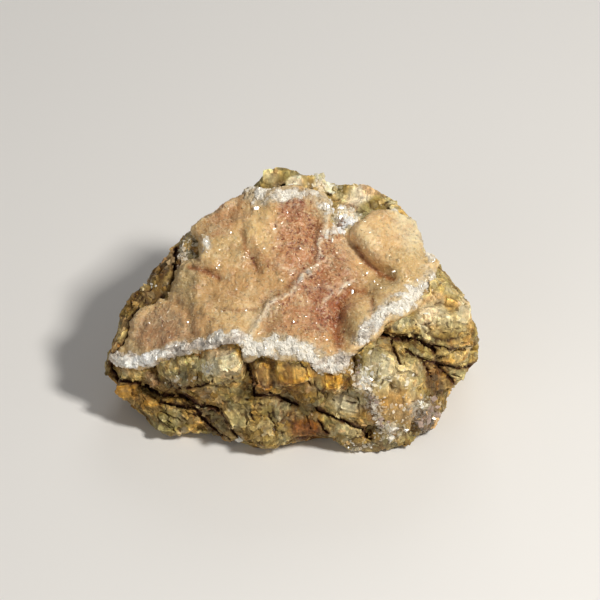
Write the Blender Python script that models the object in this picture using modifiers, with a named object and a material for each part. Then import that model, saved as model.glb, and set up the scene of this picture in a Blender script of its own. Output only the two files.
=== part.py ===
"""Magnesite specimen: a broken block of ochre host rock with a peach-coloured crystal crust on its show face.

Metres, +Z up. The block rests on its flat underside at Z = 0, and the origin is at the middle of that base.
Its show side faces -Y and is looked at from SHOW_ELEVATION above the horizon. Most shapes of that side are
placed in the show plane, which stands square to that line of sight: (across, up) in millimetres, from the
foot of the front wall. Everything else is in millimetres too, until the meshes are finished.
"""

import math
import random

import bmesh
import bpy
import numpy as np
from mathutils import Matrix, Quaternion, Vector, kdtree

# ---------------------------------------------------------------- driving dimensions, in millimetres

MM = 0.001
SHOW_ELEVATION = math.radians(40.0)
CRUST_THICKNESS = 3.0
SEAT_GAP = 0.4  # clear space between the crust and the rock that it grew on
CRUST_WRAP = 5.0  # how far the crust's edge goes down behind its own rim
WRAP_UNEVEN = 1.2
WRAP_SEED = 3
FAR = 90.0  # well clear of the block along the line of sight
BASE_LEVEL = 0.2  # height over the lowest corners at which the rough underside is cut flat
GRID = 0.65  # the sculpting mesh's spacing
TRIANGLES = 6200  # what the sculpted block is reduced to before the crust is parted from it

ACROSS = Vector((1.0, 0.0, 0.0))
UP_FACE = Vector((0.0, math.sin(SHOW_ELEVATION), math.cos(SHOW_ELEVATION)))
OUT = Vector((0.0, -math.cos(SHOW_ELEVATION), math.sin(SHOW_ELEVATION)))

# The rock's outline in the show plane, clockwise from its top knob.
OUTLINE = [
    (-3, 68.5), (1, 67), (3.5, 66.5), (4, 65), (7.5, 66.5), (8.5, 64.5), (11.5, 63), (15.5, 64),
    (18, 64.5), (19.5, 63), (24, 61), (25.5, 59), (28, 57.5), (30.5, 52.5), (31.5, 47.5), (34.5, 45),
    (35, 43), (37.5, 40.5), (39.5, 39), (42, 36.5), (43, 34.5), (42.5, 31.5), (45, 25.5), (44.5, 21.5),
    (42.5, 20.5), (39.5, 15.5), (37, 15), (35, 14), (36, 12.5), (35, 9), (33.5, 7), (29, 3.5),
    (27, 1.5), (24, 0), (16, 0), (13, 0.5), (11.5, 2.5), (9, 3.5), (2, 3.5), (-3.5, 0.5),
    (-9, 1), (-13.5, 3), (-15, 2), (-18.5, 4.5), (-20.5, 5.5), (-24, 5), (-28.5, 3), (-33, 5.5),
    (-34, 8.5), (-37.5, 10.5), (-38, 12), (-41, 12), (-44.5, 15.5), (-44.5, 21), (-42, 26.5), (-41, 28.5),
    (-41.5, 33.5), (-37.5, 38), (-34, 41), (-30.5, 45.5), (-29, 47.5), (-26.5, 49.5), (-25, 52), (-23, 53),
    (-19.5, 56), (-15.5, 58.5), (-12, 61), (-7.5, 64.5), (-7, 66.5), (-5.5, 67.5),
]

# The edge of the crust in the show plane, from its left toe along the top and back along the front rim.
CRUST_EDGE = [
    (-42.5, 22.5), (-40, 24.5), (-37.5, 28), (-37, 31.5), (-35.5, 33.5), (-31, 35.5), (-28.5, 36.5),
    (-28, 38.5), (-26.5, 41), (-26.5, 43), (-25, 45), (-21.5, 46), (-21.5, 50.5), (-24, 54), (-19.5, 57.5),
    (-12, 62.5), (-9.5, 62.5), (-7, 62), (-4, 62), (-1.5, 63), (2, 63), (5, 62), (7.5, 61), (9.5, 59),
    (8.5, 54.5), (10, 52), (12.5, 51.5), (14.5, 52.5), (17, 54.5), (20.5, 56.5), (24.5, 59), (29, 60),
    (33, 55), (34, 47.5), (35, 45), (33.5, 44), (34, 41), (33.5, 38), (31, 36), (28.5, 33.5), (26, 32.5),
    (23, 31.5), (21, 30), (20.5, 28.5), (18, 26.5), (15.5, 24.5), (13, 23), (13, 20.5), (9.5, 19.5),
    (6.5, 20), (4, 22), (0, 22.5), (-4, 22.5), (-7, 24), (-10.5, 22), (-11, 23), (-11.5, 26.5), (-14, 27),
    (-18, 25.5), (-24, 24), (-31, 22.5), (-35.5, 20), (-41.5, 21),
]

# Corners of the rough block that the fractures left: across, back from the front foot, height.
FOOT_CORNERS = [
    (-38, 22, 0), (-29.5, 4.5, 0), (-8, 1, 0), (18, 0, 0), (30, 3, 0), (35.5, 9, 0), (41, 23, 0),
    (38, 40, 0), (22, 55, 0), (0, 57, 0), (-22, 48, 0), (-36, 31, 0),
]
LEFT_CORNERS = [(-41, 14, 5), (-44.5, 15, 8), (-45, 19, 12), (-41, 26, 22), (-31, 34.5, 32), (-22.5, 38, 38)]
TOP_CORNERS = [(-10, 47, 43), (-3, 52, 46), (8, 52, 44), (18.5, 51, 41.5), (28, 44, 37)]
RIGHT_CORNERS = [(31, 40, 36), (43, 21, 28), (45.5, 22, 16), (42, 20, 3), (40, 14, 28)]
RIM_CORNERS = [(-43, 14, 18), (-11.5, 2, 33), (2, 0.5, 32), (14, 1.5, 32), (26, 1, 24), (21, 8, 34)]
BACK_CORNERS = [(-24, 50, 22), (2, 59, 26), (26, 53, 24), (41, 36, 20)]

# Domes of the crust: across, up, half width, half height, how far the dome stands out.
CRUST_DOMES = [
    (-18, 50, 11, 9, 2.0), (-4.5, 52, 10, 12, 2.2), (-24.5, 40.5, 5, 5.5, 1.8), (-31, 30, 8, 6, 1.3),
    (-15.5, 32, 10, 6.5, 1.6), (2, 32, 9, 8, 1.2), (11.5, 46, 5, 8, 0.8), (17, 32, 5, 5.5, 3.0),
    (23, 51.5, 9.5, 9, 4.0), (29, 43.5, 6, 5, 2.0), (24, 36.5, 6, 4.5, 2.2),
]
# The shallow dish that all the domes sit in.
CRUST_DISH = (1, 39, 25, 17, -3.0)

# Furrows between the domes, and the raised pale veins: points, half width, depth or height.
CRUST_FURROWS = [
    ([(-12, 52.5), (-11, 49), (-9, 45.5), (-8, 43)], 1.8, 1.5),
    ([(-24, 44), (-21, 43), (-17, 41.5)], 1.3, 1.4),
    ([(-17, 34.5), (-13, 33.5), (-8.5, 34)], 1.4, 1.0),
    ([(12.5, 51), (15, 48.5), (17.5, 45.5), (20.5, 42.5), (24, 41)], 2.0, 3.0),
    ([(17, 38), (14, 38.5), (11.5, 35.5), (10.5, 31.5), (11, 26)], 2.4, 2.6),
    ([(19, 36), (19, 32.5), (21, 31.5)], 1.2, 1.0),
]
CRUST_VEINS = [
    ([(-9.5, 28), (-7, 32), (-4.5, 35.5), (0, 38), (2, 40.5), (3, 42.5), (5, 43.5), (6.5, 45),
      (6.5, 49), (7.5, 52), (8.5, 56)], 0.9, 0.9),
    ([(8, 36), (11, 38), (13, 40), (14.5, 40)], 0.9, 0.8),
]

# Blocks of the broken wall: across, up, half width, half height, how far the block stands out, its slant.
WALL_BLOCKS = [
    # under the left part of the crust
    (-38, 18.5, 3.0, 2.1, 1.2, 4), (-33, 17.3, 1.4, 1.8, 1.4, 20), (-28.8, 19.4, 3.0, 1.9, 2.0, -6),
    (-24.5, 16.8, 2.4, 2.0, 0.6, 10), (-16, 20.6, 4.4, 3.0, 2.0, 8), (-20.5, 18.5, 3.0, 2.0, 0.8, -20),
    # the lip below the left undercut, and the slabs that slant down from it
    (-38.8, 14.3, 3.3, 2.1, 2.2, -18), (-34.5, 11.3, 3.3, 1.9, 2.2, -20), (-27.7, 12.3, 3.1, 1.2, 1.4, 4),
    (-30, 6.8, 4.0, 3.6, 1.4, 14), (-23.5, 8, 2.9, 2.6, 1.4, -42), (-17.3, 5.6, 4.2, 1.7, 1.2, -42),
    (-18.6, 12.7, 3.2, 2.8, 1.2, -12), (-12.6, 14.3, 2.3, 2.6, 0.8, 8),
    # the foot left of the middle
    (-12.6, 7.8, 2.6, 3.4, 2.0, 6), (-8, 6.6, 2.4, 3.5, 1.4, -8), (-3.6, 7.4, 2.3, 3.4, 1.8, -24),
    (-7.5, 2.8, 3.6, 2.2, 0.8, 4),
    # the rust-coloured blocks under the front rim
    (-5, 17.2, 3.7, 3.4, 2.2, -4), (0.4, 19.6, 3.8, 2.4, 2.4, 12), (3.9, 14.0, 4.0, 2.5, 1.6, -6),
    (8.6, 17.4, 2.6, 3.0, 1.2, 30), (12.4, 18.4, 2.1, 3.4, 1.8, 8),
    (5, 6.2, 2.8, 2.1, 1.4, 10), (2, 9.6, 3.4, 1.6, 0.6, -24), (14, 10.6, 4.6, 2.7, 1.4, -16),
    (12.9, 5.4, 4.4, 2.5, 1.8, -28), (15.9, 2.0, 3.2, 1.6, 0.6, 0),
    # the pale face at the lower right
    (19.5, 19.5, 4.0, 4.6, 2.4, -12), (27.3, 18.6, 4.0, 4.2, 2.0, 18), (23.6, 11.0, 5.0, 4.6, 2.8, -8),
    (31.4, 11.6, 4.0, 4.0, 1.6, 22), (31, 6.8, 3.8, 3.2, 0.8, -14), (23.5, 4, 4.6, 3.4, 1.6, 12),
    # the right shoulder: its ledge, its slabs and the fan below them
    (25.7, 29.6, 3.8, 1.4, 2.2, -4), (32.6, 30.4, 3.4, 3.0, 1.4, 12), (39, 29.4, 4.0, 3.8, 2.0, -10),
    (38.7, 36, 3.6, 3.2, 1.2, 28), (33, 36.4, 3.2, 3.0, 1.4, -24), (27.4, 24.7, 3.8, 2.0, 0.8, -26),
    (34, 25.2, 3.4, 1.4, 0.6, -24), (39.5, 22.6, 5.2, 1.8, 2.0, -6), (38, 19.2, 4.6, 1.3, 1.0, -24),
    (35.6, 16.2, 3.6, 1.6, 0.6, -36), (32.6, 20.2, 1.6, 1.2, 0.2, -40),
    # the knobs along the top
    (-4.5, 66, 3.5, 3.0, 1.6, 20), (1.5, 64.6, 2.6, 2.2, 1.2, -10), (7, 64.2, 3.0, 2.4, 1.4, 8),
    (15.5, 61.5, 4.0, 3.2, 1.8, -14), (21.5, 60, 3.2, 2.6, 1.0, 12), (13, 56, 3.0, 3.4, 1.2, 20),
    (18.6, 57.8, 2.8, 2.0, 0.8, -30),
    # the left slope behind the dark gap
    (-29, 42, 2.5, 4.0, 1.2, 10), (-38, 33, 3.4, 3.8, 1.4, 25), (-41, 26, 2.5, 3.4, 1.2, 5),
    (-34, 38.5, 3.0, 3.0, 1.2, -15), (-27, 49, 2.2, 2.6, 1.0, 12),
]
# Open cracks and undercut ledges of the wall: points, half width, depth.
ROCK_CRACKS = [
    ([(-42, 19), (-41, 17), (-35, 16), (-31, 13.5), (-25, 13.5), (-21.5, 11), (-17.5, 10)], 1.1, 4.0),
    ([(-31, 12), (-26.5, 11), (-22.5, 10.5), (-19, 6), (-16.5, 4)], 1.0, 2.6),
    ([(-16.5, 9.5), (-13.5, 4.5), (-12, 3)], 0.7, 1.6),
    ([(-26.5, 15), (-20.5, 16), (-18.5, 17)], 0.6, 1.4),
    ([(-11.5, 26.5), (-11, 22.5), (-9, 17.5), (-8.5, 13.5), (-5, 14), (1.5, 11.5)], 0.9, 2.2),
    ([(6, 10.5), (9, 9), (16, 6), (19, 3.5)], 0.8, 2.2),
    ([(6.5, 7.5), (8.5, 4.5)], 0.8, 1.8),
    ([(20.5, 28.5), (24.5, 27), (29.5, 27), (34, 24)], 1.1, 3.6),
    ([(23.5, 26.5), (24, 24.5), (25.5, 21.5)], 0.7, 1.6),
    ([(27, 24), (33, 21.5), (39.5, 20), (44, 20.5)], 0.8, 2.4),
    ([(31, 22), (33, 18)], 0.9, 1.8),
    ([(34, 21.5), (39, 16)], 0.7, 1.8),
    ([(33.5, 25.5), (37.5, 24.5), (44, 24.5)], 0.5, 1.2),
    ([(-27.5, 48.5), (-28, 45), (-27, 42.5), (-28.5, 37)], 1.2, 3.0),
    ([(-36.5, 33.5), (-37.5, 28), (-42.5, 21.5), (-42.5, 19)], 1.0, 2.8),
    ([(12.5, 24.5), (15, 23.5)], 0.9, 2.2),
    ([(11, 52.5), (16, 56.5), (23, 60.5)], 1.6, 1.8),
]

# The blocks that the rest of the rock broke into: spacing, half sizes, how far a block stands out, its tilt.
RUBBLE_SPACING = 5.2
RUBBLE_HALF = (2.6, 4.6)
RUBBLE_RISE = (-1.5, 1.1)
RUBBLE_TILT = 22.0
RUBBLE_SEED = 11
BASE_RISE = (-0.8, 0.2)
BASE_TILT = 5.0
GAP_DEPTH = 2.6  # how far below the blocks' plain face the gaps between them reach
# The crust's knobbly grain: spacing and height of its knobs.
KNOB_SPACING = 3.0
KNOB_HEIGHT = 0.9
KNOB_SEED = 5


# ---------------------------------------------------------------- the show plane


def show_coordinates(points):
    """(across, up, out) of points given as (x, back from the front foot, height)."""
    across = points @ np.array(ACROSS)
    up = points @ np.array(UP_FACE)
    out = points @ np.array(OUT)
    return across, up, out


def show_point(across, up, out):
    return ACROSS * across + UP_FACE * up + OUT * out


def smooth_step(low, high, value):
    share = np.clip((value - low) / (high - low), 0.0, 1.0)
    return share * share * (3.0 - 2.0 * share)


def distance_to_line(across, up, line):
    """How far each point of the show plane lies from a line of several stretches."""
    nearest = np.full(len(across), 1e9)
    for (a0, u0), (a1, u1) in zip(line, line[1:]):
        along = np.array([a1 - a0, u1 - u0])
        share = ((across - a0) * along[0] + (up - u0) * along[1]) / (along @ along)
        share = np.clip(share, 0.0, 1.0)
        nearest = np.minimum(nearest, np.hypot(across - a0 - share * along[0], up - u0 - share * along[1]))
    return nearest


def inside_outline(across, up, outline):
    """True for each point of the show plane inside a closed outline."""
    inside = np.zeros(len(across), bool)
    for (a0, u0), (a1, u1) in zip(outline, outline[1:] + outline[:1]):
        crosses = (u0 > up) != (u1 > up)
        at = a0 + (up - u0) * (a1 - a0) / (u1 - u0 if u1 != u0 else 1e-9)
        inside ^= crosses & (across < at)
    return inside


def into_outline(across, up, outline):
    """Distance to a closed outline, positive inside it."""
    away = distance_to_line(across, up, outline + outline[:1])
    return np.where(inside_outline(across, up, outline), away, -away)


def dome(across, up, shape):
    """A rounded swelling, or a dish where its height is negative."""
    a, u, half_width, half_height, rise = shape
    reach = np.hypot((across - a) / half_width, (up - u) / half_height)
    return rise * np.sqrt(np.clip(1.0 - reach * reach, 0.0, 1.0)) * smooth_step(1.0, 0.75, reach)


def groove(across, up, line, half_width):
    """1 along a line, falling to 0 at about two half widths from it."""
    return np.exp(-((distance_to_line(across, up, line) / half_width) ** 2))


# ---------------------------------------------------------------- mesh helpers


def mesh_object(name, mesh, collection):
    made = bpy.data.objects.new(name, mesh)
    collection.objects.link(made)
    return made


def apply_modifiers(obj):
    """Replaces the object's mesh with its evaluated one and drops the modifiers."""
    bpy.context.view_layer.update()
    evaluated = obj.evaluated_get(bpy.context.evaluated_depsgraph_get())
    mesh = bpy.data.meshes.new_from_object(evaluated)
    obj.modifiers.clear()
    obj.data = mesh


def remesh(obj, spacing):
    modifier = obj.modifiers.new("Sculpting mesh", "REMESH")
    modifier.mode = "VOXEL"
    modifier.voxel_size = spacing
    apply_modifiers(obj)


def combine(obj, other, operation):
    modifier = obj.modifiers.new(operation.title(), "BOOLEAN")
    modifier.object = other
    modifier.operation = operation
    modifier.solver = "EXACT"
    facets = obj.modifiers.new("Facets", "TRIANGULATE")
    facets.quad_method = "BEAUTY"
    facets.ngon_method = "BEAUTY"
    apply_modifiers(obj)


def keep_largest_piece(mesh):
    """Drops the chips that a cut leaves loose."""
    shape = bmesh.new()
    shape.from_mesh(mesh)
    shape.verts.ensure_lookup_table()
    unseen = set(shape.verts)
    pieces = []
    while unseen:
        piece = {unseen.pop()}
        edge_of_piece = list(piece)
        while edge_of_piece:
            vert = edge_of_piece.pop()
            for link in vert.link_edges:
                other = link.other_vert(vert)
                if other in unseen:
                    unseen.discard(other)
                    piece.add(other)
                    edge_of_piece.append(other)
        pieces.append(piece)
    largest = max(pieces, key=len)
    bmesh.ops.delete(shape, geom=[v for v in shape.verts if v not in largest], context="VERTS")
    shape.to_mesh(mesh)
    shape.free()


def read_points(mesh):
    points = np.empty(len(mesh.vertices) * 3)
    mesh.vertices.foreach_get("co", points)
    return points.reshape(-1, 3)


def read_normals(mesh):
    normals = np.empty(len(mesh.vertices) * 3)
    mesh.vertex_normals.foreach_get("vector", normals)
    return normals.reshape(-1, 3)


def write_points(mesh, points):
    mesh.vertices.foreach_set("co", points.astype(np.float32).ravel())
    mesh.update()


# ---------------------------------------------------------------- the block


def widened(outline, by):
    """A clockwise closed outline of the show plane, grown by `by` all round."""
    points = [Vector(point) for point in outline]
    grown = []
    for before, here, after in zip(points[-1:] + points[:-1], points, points[1:] + points[:1]):
        arriving = (here - before).normalized()
        away = (arriving + (after - here).normalized()).orthogonal().normalized()
        grown.append(tuple(here + away * by / max(0.5, away.dot(arriving.orthogonal()))))
    return grown


def outline_prism(name, outline, collection):
    """An outline of the show plane drawn out both ways along the line of sight."""
    curve = bpy.data.curves.new(name, "CURVE")
    curve.dimensions = "2D"
    curve.fill_mode = "BOTH"
    curve.extrude = FAR
    line = curve.splines.new("POLY")
    line.points.add(len(outline) - 1)
    for point, (across, up) in zip(line.points, outline):
        point.co = (across, up, 0.0, 1.0)
    line.use_cyclic_u = True
    drawn = bpy.data.objects.new(name, curve)
    drawn.matrix_world = Matrix((ACROSS, UP_FACE, OUT)).transposed().to_4x4()
    collection.objects.link(drawn)
    bpy.context.view_layer.update()
    mesh = bpy.data.meshes.new_from_object(drawn.evaluated_get(bpy.context.evaluated_depsgraph_get()))
    mesh.transform(drawn.matrix_world)
    bpy.data.objects.remove(drawn)
    shape = bmesh.new()
    shape.from_mesh(mesh)
    bmesh.ops.remove_doubles(shape, verts=shape.verts, dist=0.0001)
    bmesh.ops.recalc_face_normals(shape, faces=shape.faces)
    shape.to_mesh(mesh)
    shape.free()
    return mesh_object(name, mesh, collection)


def edge_prism(name, by, depths, collection):
    """The crust's edge, grown by `by`, drawn out to the front from a depth of its own at each corner."""
    made = outline_prism(name, CRUST_EDGE, collection)
    grown = widened(CRUST_EDGE, by)
    for vert in made.data.vertices:
        across, up, out = vert.co.dot(ACROSS), vert.co.dot(UP_FACE), vert.co.dot(OUT)
        away = [math.hypot(across - corner[0], up - corner[1]) for corner in CRUST_EDGE]
        corner = away.index(min(away))
        vert.co = show_point(*grown[corner], depths[corner] if out < 0.0 else FAR)
    return made


def crust_depths(block, below):
    """For each corner of the crust's edge, how deep it goes down behind its rim, and `below` that."""
    depths = []
    for across, up in widened(CRUST_EDGE, -1.5):
        _, place, _, _ = block.ray_cast(show_point(across, up, FAR), -OUT)
        depths.append(place.dot(OUT) - CRUST_WRAP)
    for _ in range(4):
        depths = [(depths[i - 1] + here + depths[(i + 1) % len(depths)]) / 3.0 for i, here in enumerate(depths)]
    chance = random.Random(WRAP_SEED)
    return [depth + chance.uniform(-WRAP_UNEVEN, WRAP_UNEVEN) - below for depth in depths]


def add_hull(shape, corners):
    """Adds the convex hull of the corners to a mesh as a closed body of its own."""
    verts = [shape.verts.new(corner) for corner in corners]
    hull = bmesh.ops.convex_hull(shape, input=verts)
    bmesh.ops.delete(shape, geom=[v for v in verts if not v.link_faces], context="VERTS")
    faces = [g for g in hull["geom"] if isinstance(g, bmesh.types.BMFace)]
    bmesh.ops.recalc_face_normals(shape, faces=faces)


def add_rock_block(shape, place, turn, half_sizes, rise, chance):
    """Adds a rough box whose outer face stands `rise` out of the surface at `place`."""
    corners = []
    for x in (-1.0, 1.0):
        for y in (-1.0, 1.0):
            for z in (-1.0, 1.0):
                corner = Vector((x * half_sizes[0], y * half_sizes[1], z * half_sizes[2]))
                corner *= chance.uniform(0.72, 1.12)
                corners.append(place + turn @ (corner + Vector((0.0, 0.0, rise - half_sizes[2]))))
    add_hull(shape, corners)


def turn_onto(normal, spin, tilt, chance):
    """A turn that sets a box on the surface: its Z leans a little off the normal, its X is spun about it."""
    lean = Quaternion(unit_vector(chance), math.radians(chance.uniform(0.0, tilt)))
    return lean @ normal.to_track_quat("Z", "Y") @ Quaternion((0.0, 0.0, 1.0), math.radians(spin))


def surface_samples(block, spacing, chance):
    """Points spread evenly over the block, at least `spacing` apart, with their normals."""
    mesh = block.data
    mesh.calc_loop_triangles()
    triangles = mesh.loop_triangles
    areas = [triangle.area for triangle in triangles]
    kept = []
    for triangle in chance.choices(triangles, weights=areas, k=9000):
        first, second = sorted((chance.random(), chance.random()))
        a, b, c = (mesh.vertices[index].co for index in triangle.vertices)
        place = a * first + b * (second - first) + c * (1.0 - second)
        if all((place - other).length > spacing for other, _ in kept):
            kept.append((place, triangle.normal.copy()))
    return kept


def rough_block(collection):
    """The broken block: a hull of its main corners, sunk a little, with smaller blocks all over its broken sides."""
    chance = random.Random(RUBBLE_SEED)
    corners = FOOT_CORNERS + LEFT_CORNERS + TOP_CORNERS + RIGHT_CORNERS + RIM_CORNERS + BACK_CORNERS
    shape = bmesh.new()
    add_hull(shape, corners)
    mesh = bpy.data.meshes.new("hull")
    shape.to_mesh(mesh)
    hull = mesh_object("hull", mesh, collection)
    bpy.context.view_layer.update()
    for vert in shape.verts:
        vert.co -= vert.normal * GAP_DEPTH

    for across, up, half_width, half_height, rise, spin in WALL_BLOCKS:
        hit, place, normal, _ = hull.ray_cast(show_point(across, up, FAR), -OUT)
        if hit:
            turn = turn_onto((normal + OUT * 0.35).normalized(), spin, 12.0, chance)
            add_rock_block(shape, place, turn, (half_width, half_height * 1.2, 4.5), rise, chance)
    for place, normal in surface_samples(hull, RUBBLE_SPACING, chance):
        across, up, _ = show_coordinates(np.array([place]))
        if normal.dot(OUT) > 0.0 and (
            into_outline(across, up, CRUST_EDGE)[0] > -1.0
            or min(math.hypot((across[0] - b[0]) / b[2], (up[0] - b[1]) / b[3]) for b in WALL_BLOCKS) < 0.7
        ):
            continue
        under = normal.z < -0.7
        turn = turn_onto(normal, chance.uniform(-30.0, 30.0), BASE_TILT if under else RUBBLE_TILT, chance)
        halves = [chance.uniform(*RUBBLE_HALF) for _ in range(3)]
        rise = chance.uniform(*(BASE_RISE if under else RUBBLE_RISE))
        add_rock_block(shape, place, turn, halves, rise, chance)

    slab = mesh_object("slab", mesh.copy(), collection)
    slab_edge = edge_prism("slab edge", 0.6, crust_depths(hull, 6.0), collection)
    combine(slab, slab_edge, "INTERSECT")
    shape.from_mesh(slab.data)
    block = mesh_object("block", bpy.data.meshes.new("block"), collection)
    shape.to_mesh(block.data)
    shape.free()
    remesh(block, GRID)
    outline = outline_prism("outline", OUTLINE, collection)
    combine(block, outline, "INTERSECT")
    for helper in (hull, slab, slab_edge, outline):
        bpy.data.objects.remove(helper)
    return block


def unit_vector(chance):
    turn = chance.uniform(0.0, math.tau)
    height = chance.uniform(-1.0, 1.0)
    flat = math.sqrt(1.0 - height * height)
    return np.array([flat * math.cos(turn), flat * math.sin(turn), height])


def knobs(points, spacing, seed):
    """0 to 1: rounded knobs a little way apart, over the points given."""
    chance = random.Random(seed)
    low = points.min(axis=0) - spacing
    counts = np.ceil((points.max(axis=0) + spacing - low) / spacing).astype(int)
    tops = []
    for index in np.ndindex(*counts):
        jitter = [chance.uniform(-0.4, 0.4) for _ in range(3)]
        tops.append(low + (np.array(index) + 0.5 + jitter) * spacing)
    tree = kdtree.KDTree(len(tops))
    for number, top in enumerate(tops):
        tree.insert(top, number)
    tree.balance()
    away = np.array([tree.find(point)[2] for point in points]) / spacing
    return 1.0 - smooth_step(0.1, 0.9, away)


def crust_relief(across, up):
    """How far the crust's surface stands out of the block's plain face."""
    relief = dome(across, up, CRUST_DISH)
    for shape in CRUST_DOMES:
        relief += dome(across, up, shape)
    for line, half_width, depth in CRUST_FURROWS:
        relief -= depth * groove(across, up, line, half_width)
    for line, half_width, height in CRUST_VEINS:
        relief += height * groove(across, up, line, half_width)
    return relief


def crack_depth(across, up):
    """How deep the wall's cracks go in."""
    depth = np.zeros(len(across))
    for line, half_width, deep in ROCK_CRACKS:
        depth = np.maximum(depth, deep * groove(across, up, line, half_width))
    return depth


def carve(block):
    """Moves the sculpting mesh's points on the show side: the crust's domes and the wall's cracks."""
    mesh = block.data
    points = read_points(mesh)
    normals = read_normals(mesh)
    across, up, _ = show_coordinates(points)
    facing = smooth_step(0.05, 0.4, normals @ np.array(OUT))
    crusted = smooth_step(-0.4, 0.6, into_outline(across, up, CRUST_EDGE)) * facing
    relief = crusted * crust_relief(across, up) - (1.0 - crusted) * facing * crack_depth(across, up)
    write_points(mesh, points + relief[:, None] * np.array(OUT))


def roughen_crust(block):
    """Raises the crust's knobs."""
    mesh = block.data
    points = read_points(mesh)
    normals = read_normals(mesh)
    across, up, _ = show_coordinates(points)
    facing = smooth_step(-0.2, 0.2, normals @ np.array(OUT))
    crusted = smooth_step(-0.4, 0.6, into_outline(across, up, CRUST_EDGE)) * facing
    height = KNOB_HEIGHT * (knobs(points, KNOB_SPACING, KNOB_SEED) - 0.5)
    write_points(mesh, points + (crusted * height)[:, None] * normals)


def reduce_triangles(block):
    """Keeps the triangles where they show: the back and the underside are reduced most."""
    shown = block.vertex_groups.new(name="plain side")
    normals = read_normals(block.data)
    hidden = smooth_step(0.35, -0.15, normals @ np.array(OUT))
    for index, share in enumerate(hidden):
        shown.add([index], 0.25 + 0.75 * float(share), "REPLACE")
    modifier = block.modifiers.new("Fewer triangles", "DECIMATE")
    modifier.ratio = TRIANGLES / (2.0 * len(block.data.polygons))
    modifier.vertex_group = shown.name
    modifier.vertex_group_factor = 1.0
    apply_modifiers(block)
    block.vertex_groups.clear()


def flatten_base(mesh):
    """Cuts the rough underside off flat, so that the block stands on one face."""
    shape = bmesh.new()
    shape.from_mesh(mesh)
    everything = shape.verts[:] + shape.edges[:] + shape.faces[:]
    cut = bmesh.ops.bisect_plane(
        shape, geom=everything, dist=0.001, plane_co=(0, 0, BASE_LEVEL), plane_no=(0, 0, -1), clear_outer=True
    )
    rim = [g for g in cut["geom_cut"] if isinstance(g, bmesh.types.BMEdge)]
    bmesh.ops.holes_fill(shape, edges=rim)
    bmesh.ops.triangulate(shape, faces=shape.faces)
    shape.to_mesh(mesh)
    shape.free()


# ---------------------------------------------------------------- the crust and the rock


def core_of(block, depth, collection):
    """The carved block shrunk by `depth`, without its fine shape: the rock that lies under the crust."""
    core = mesh_object("core", block.data.copy(), collection)
    smooth = core.modifiers.new("Broad shape", "SMOOTH")
    smooth.factor = 0.5
    smooth.iterations = 12
    apply_modifiers(core)
    shrink(core.data, depth)
    remesh(core, 1.6)
    reduced = core.modifiers.new("Fewer triangles", "DECIMATE")
    reduced.ratio = 0.08
    relaxed = core.modifiers.new("No sharp folds", "SMOOTH")
    relaxed.factor = 0.4
    relaxed.iterations = 2
    apply_modifiers(core)
    return core


def shrink(mesh, depth):
    write_points(mesh, read_points(mesh) - read_normals(mesh) * depth)


def space_over(core, by, depths, collection):
    """The space over the core, in front of the given depths and within the crust's edge grown by `by`."""
    space = edge_prism("space", by, depths, collection)
    combine(space, core, "DIFFERENCE")
    return space


def principled(name, color, roughness):
    material = bpy.data.materials.new(name)
    material.use_nodes = True
    shader = material.node_tree.nodes["Principled BSDF"]
    shader.inputs["Base Color"].default_value = (*color, 1.0)
    shader.inputs["Roughness"].default_value = roughness
    shader.inputs["Metallic"].default_value = 0.0
    material.diffuse_color = (*color, 1.0)
    return material


def finish(obj, material, shift):
    keep_largest_piece(obj.data)
    obj.data.transform(Matrix.Diagonal((MM, MM, MM, 1.0)) @ Matrix.Translation(shift))
    obj.data.materials.clear()
    obj.data.materials.append(material)
    obj.data.shade_flat()


def main():
    for old in list(bpy.data.objects):
        bpy.data.objects.remove(old)
    specimen = bpy.data.collections.new("magnesite specimen")
    bpy.context.scene.collection.children.link(specimen)

    cutters = bpy.data.collections.new("cutters")
    bpy.context.scene.collection.children.link(cutters)

    block = rough_block(cutters)
    carve(block)
    core = core_of(block, CRUST_THICKNESS, cutters)
    bpy.context.view_layer.update()
    crust_ends = crust_depths(block, 0.0)
    seat_ends = crust_depths(block, 3.0 * SEAT_GAP)
    roughen_crust(block)
    remesh(block, GRID)
    reduce_triangles(block)
    flatten_base(block.data)

    crust_space = space_over(core, 0.0, crust_ends, cutters)
    shrink(core.data, SEAT_GAP)
    seat_space = space_over(core, SEAT_GAP, seat_ends, cutters)
    crust = mesh_object("crust", block.data.copy(), specimen)
    combine(crust, crust_space, "INTERSECT")
    matrix = mesh_object("matrix", block.data.copy(), specimen)
    combine(matrix, seat_space, "DIFFERENCE")
    for helper in (block, core, crust_space, seat_space):
        bpy.data.objects.remove(helper)

    points = np.vstack([read_points(matrix.data), read_points(crust.data)])
    middle = (points.min(axis=0) + points.max(axis=0)) / 2.0
    shift = Vector((-middle[0], -middle[1], -points[:, 2].min()))
    finish(matrix, principled("ochre host rock", (0.52, 0.40, 0.20), 0.75), shift)
    finish(crust, principled("peach magnesite", (0.74, 0.50, 0.34), 0.45), shift)


main()
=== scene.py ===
# %% [markdown]
# # A magnesite specimen
#
# The specimen is a broken block of ochre host rock. A peach-coloured crust of tiny magnesite crystals, which
# collectors call a druse, covers its sloping show face. The packed solids give the shapes that can be seen
# from a step away. This lesson dresses them: it makes a fine copy of each solid, breaks its surface into
# grains, paints it with soft patches of colour, and lays small real crystals on top.

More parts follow.
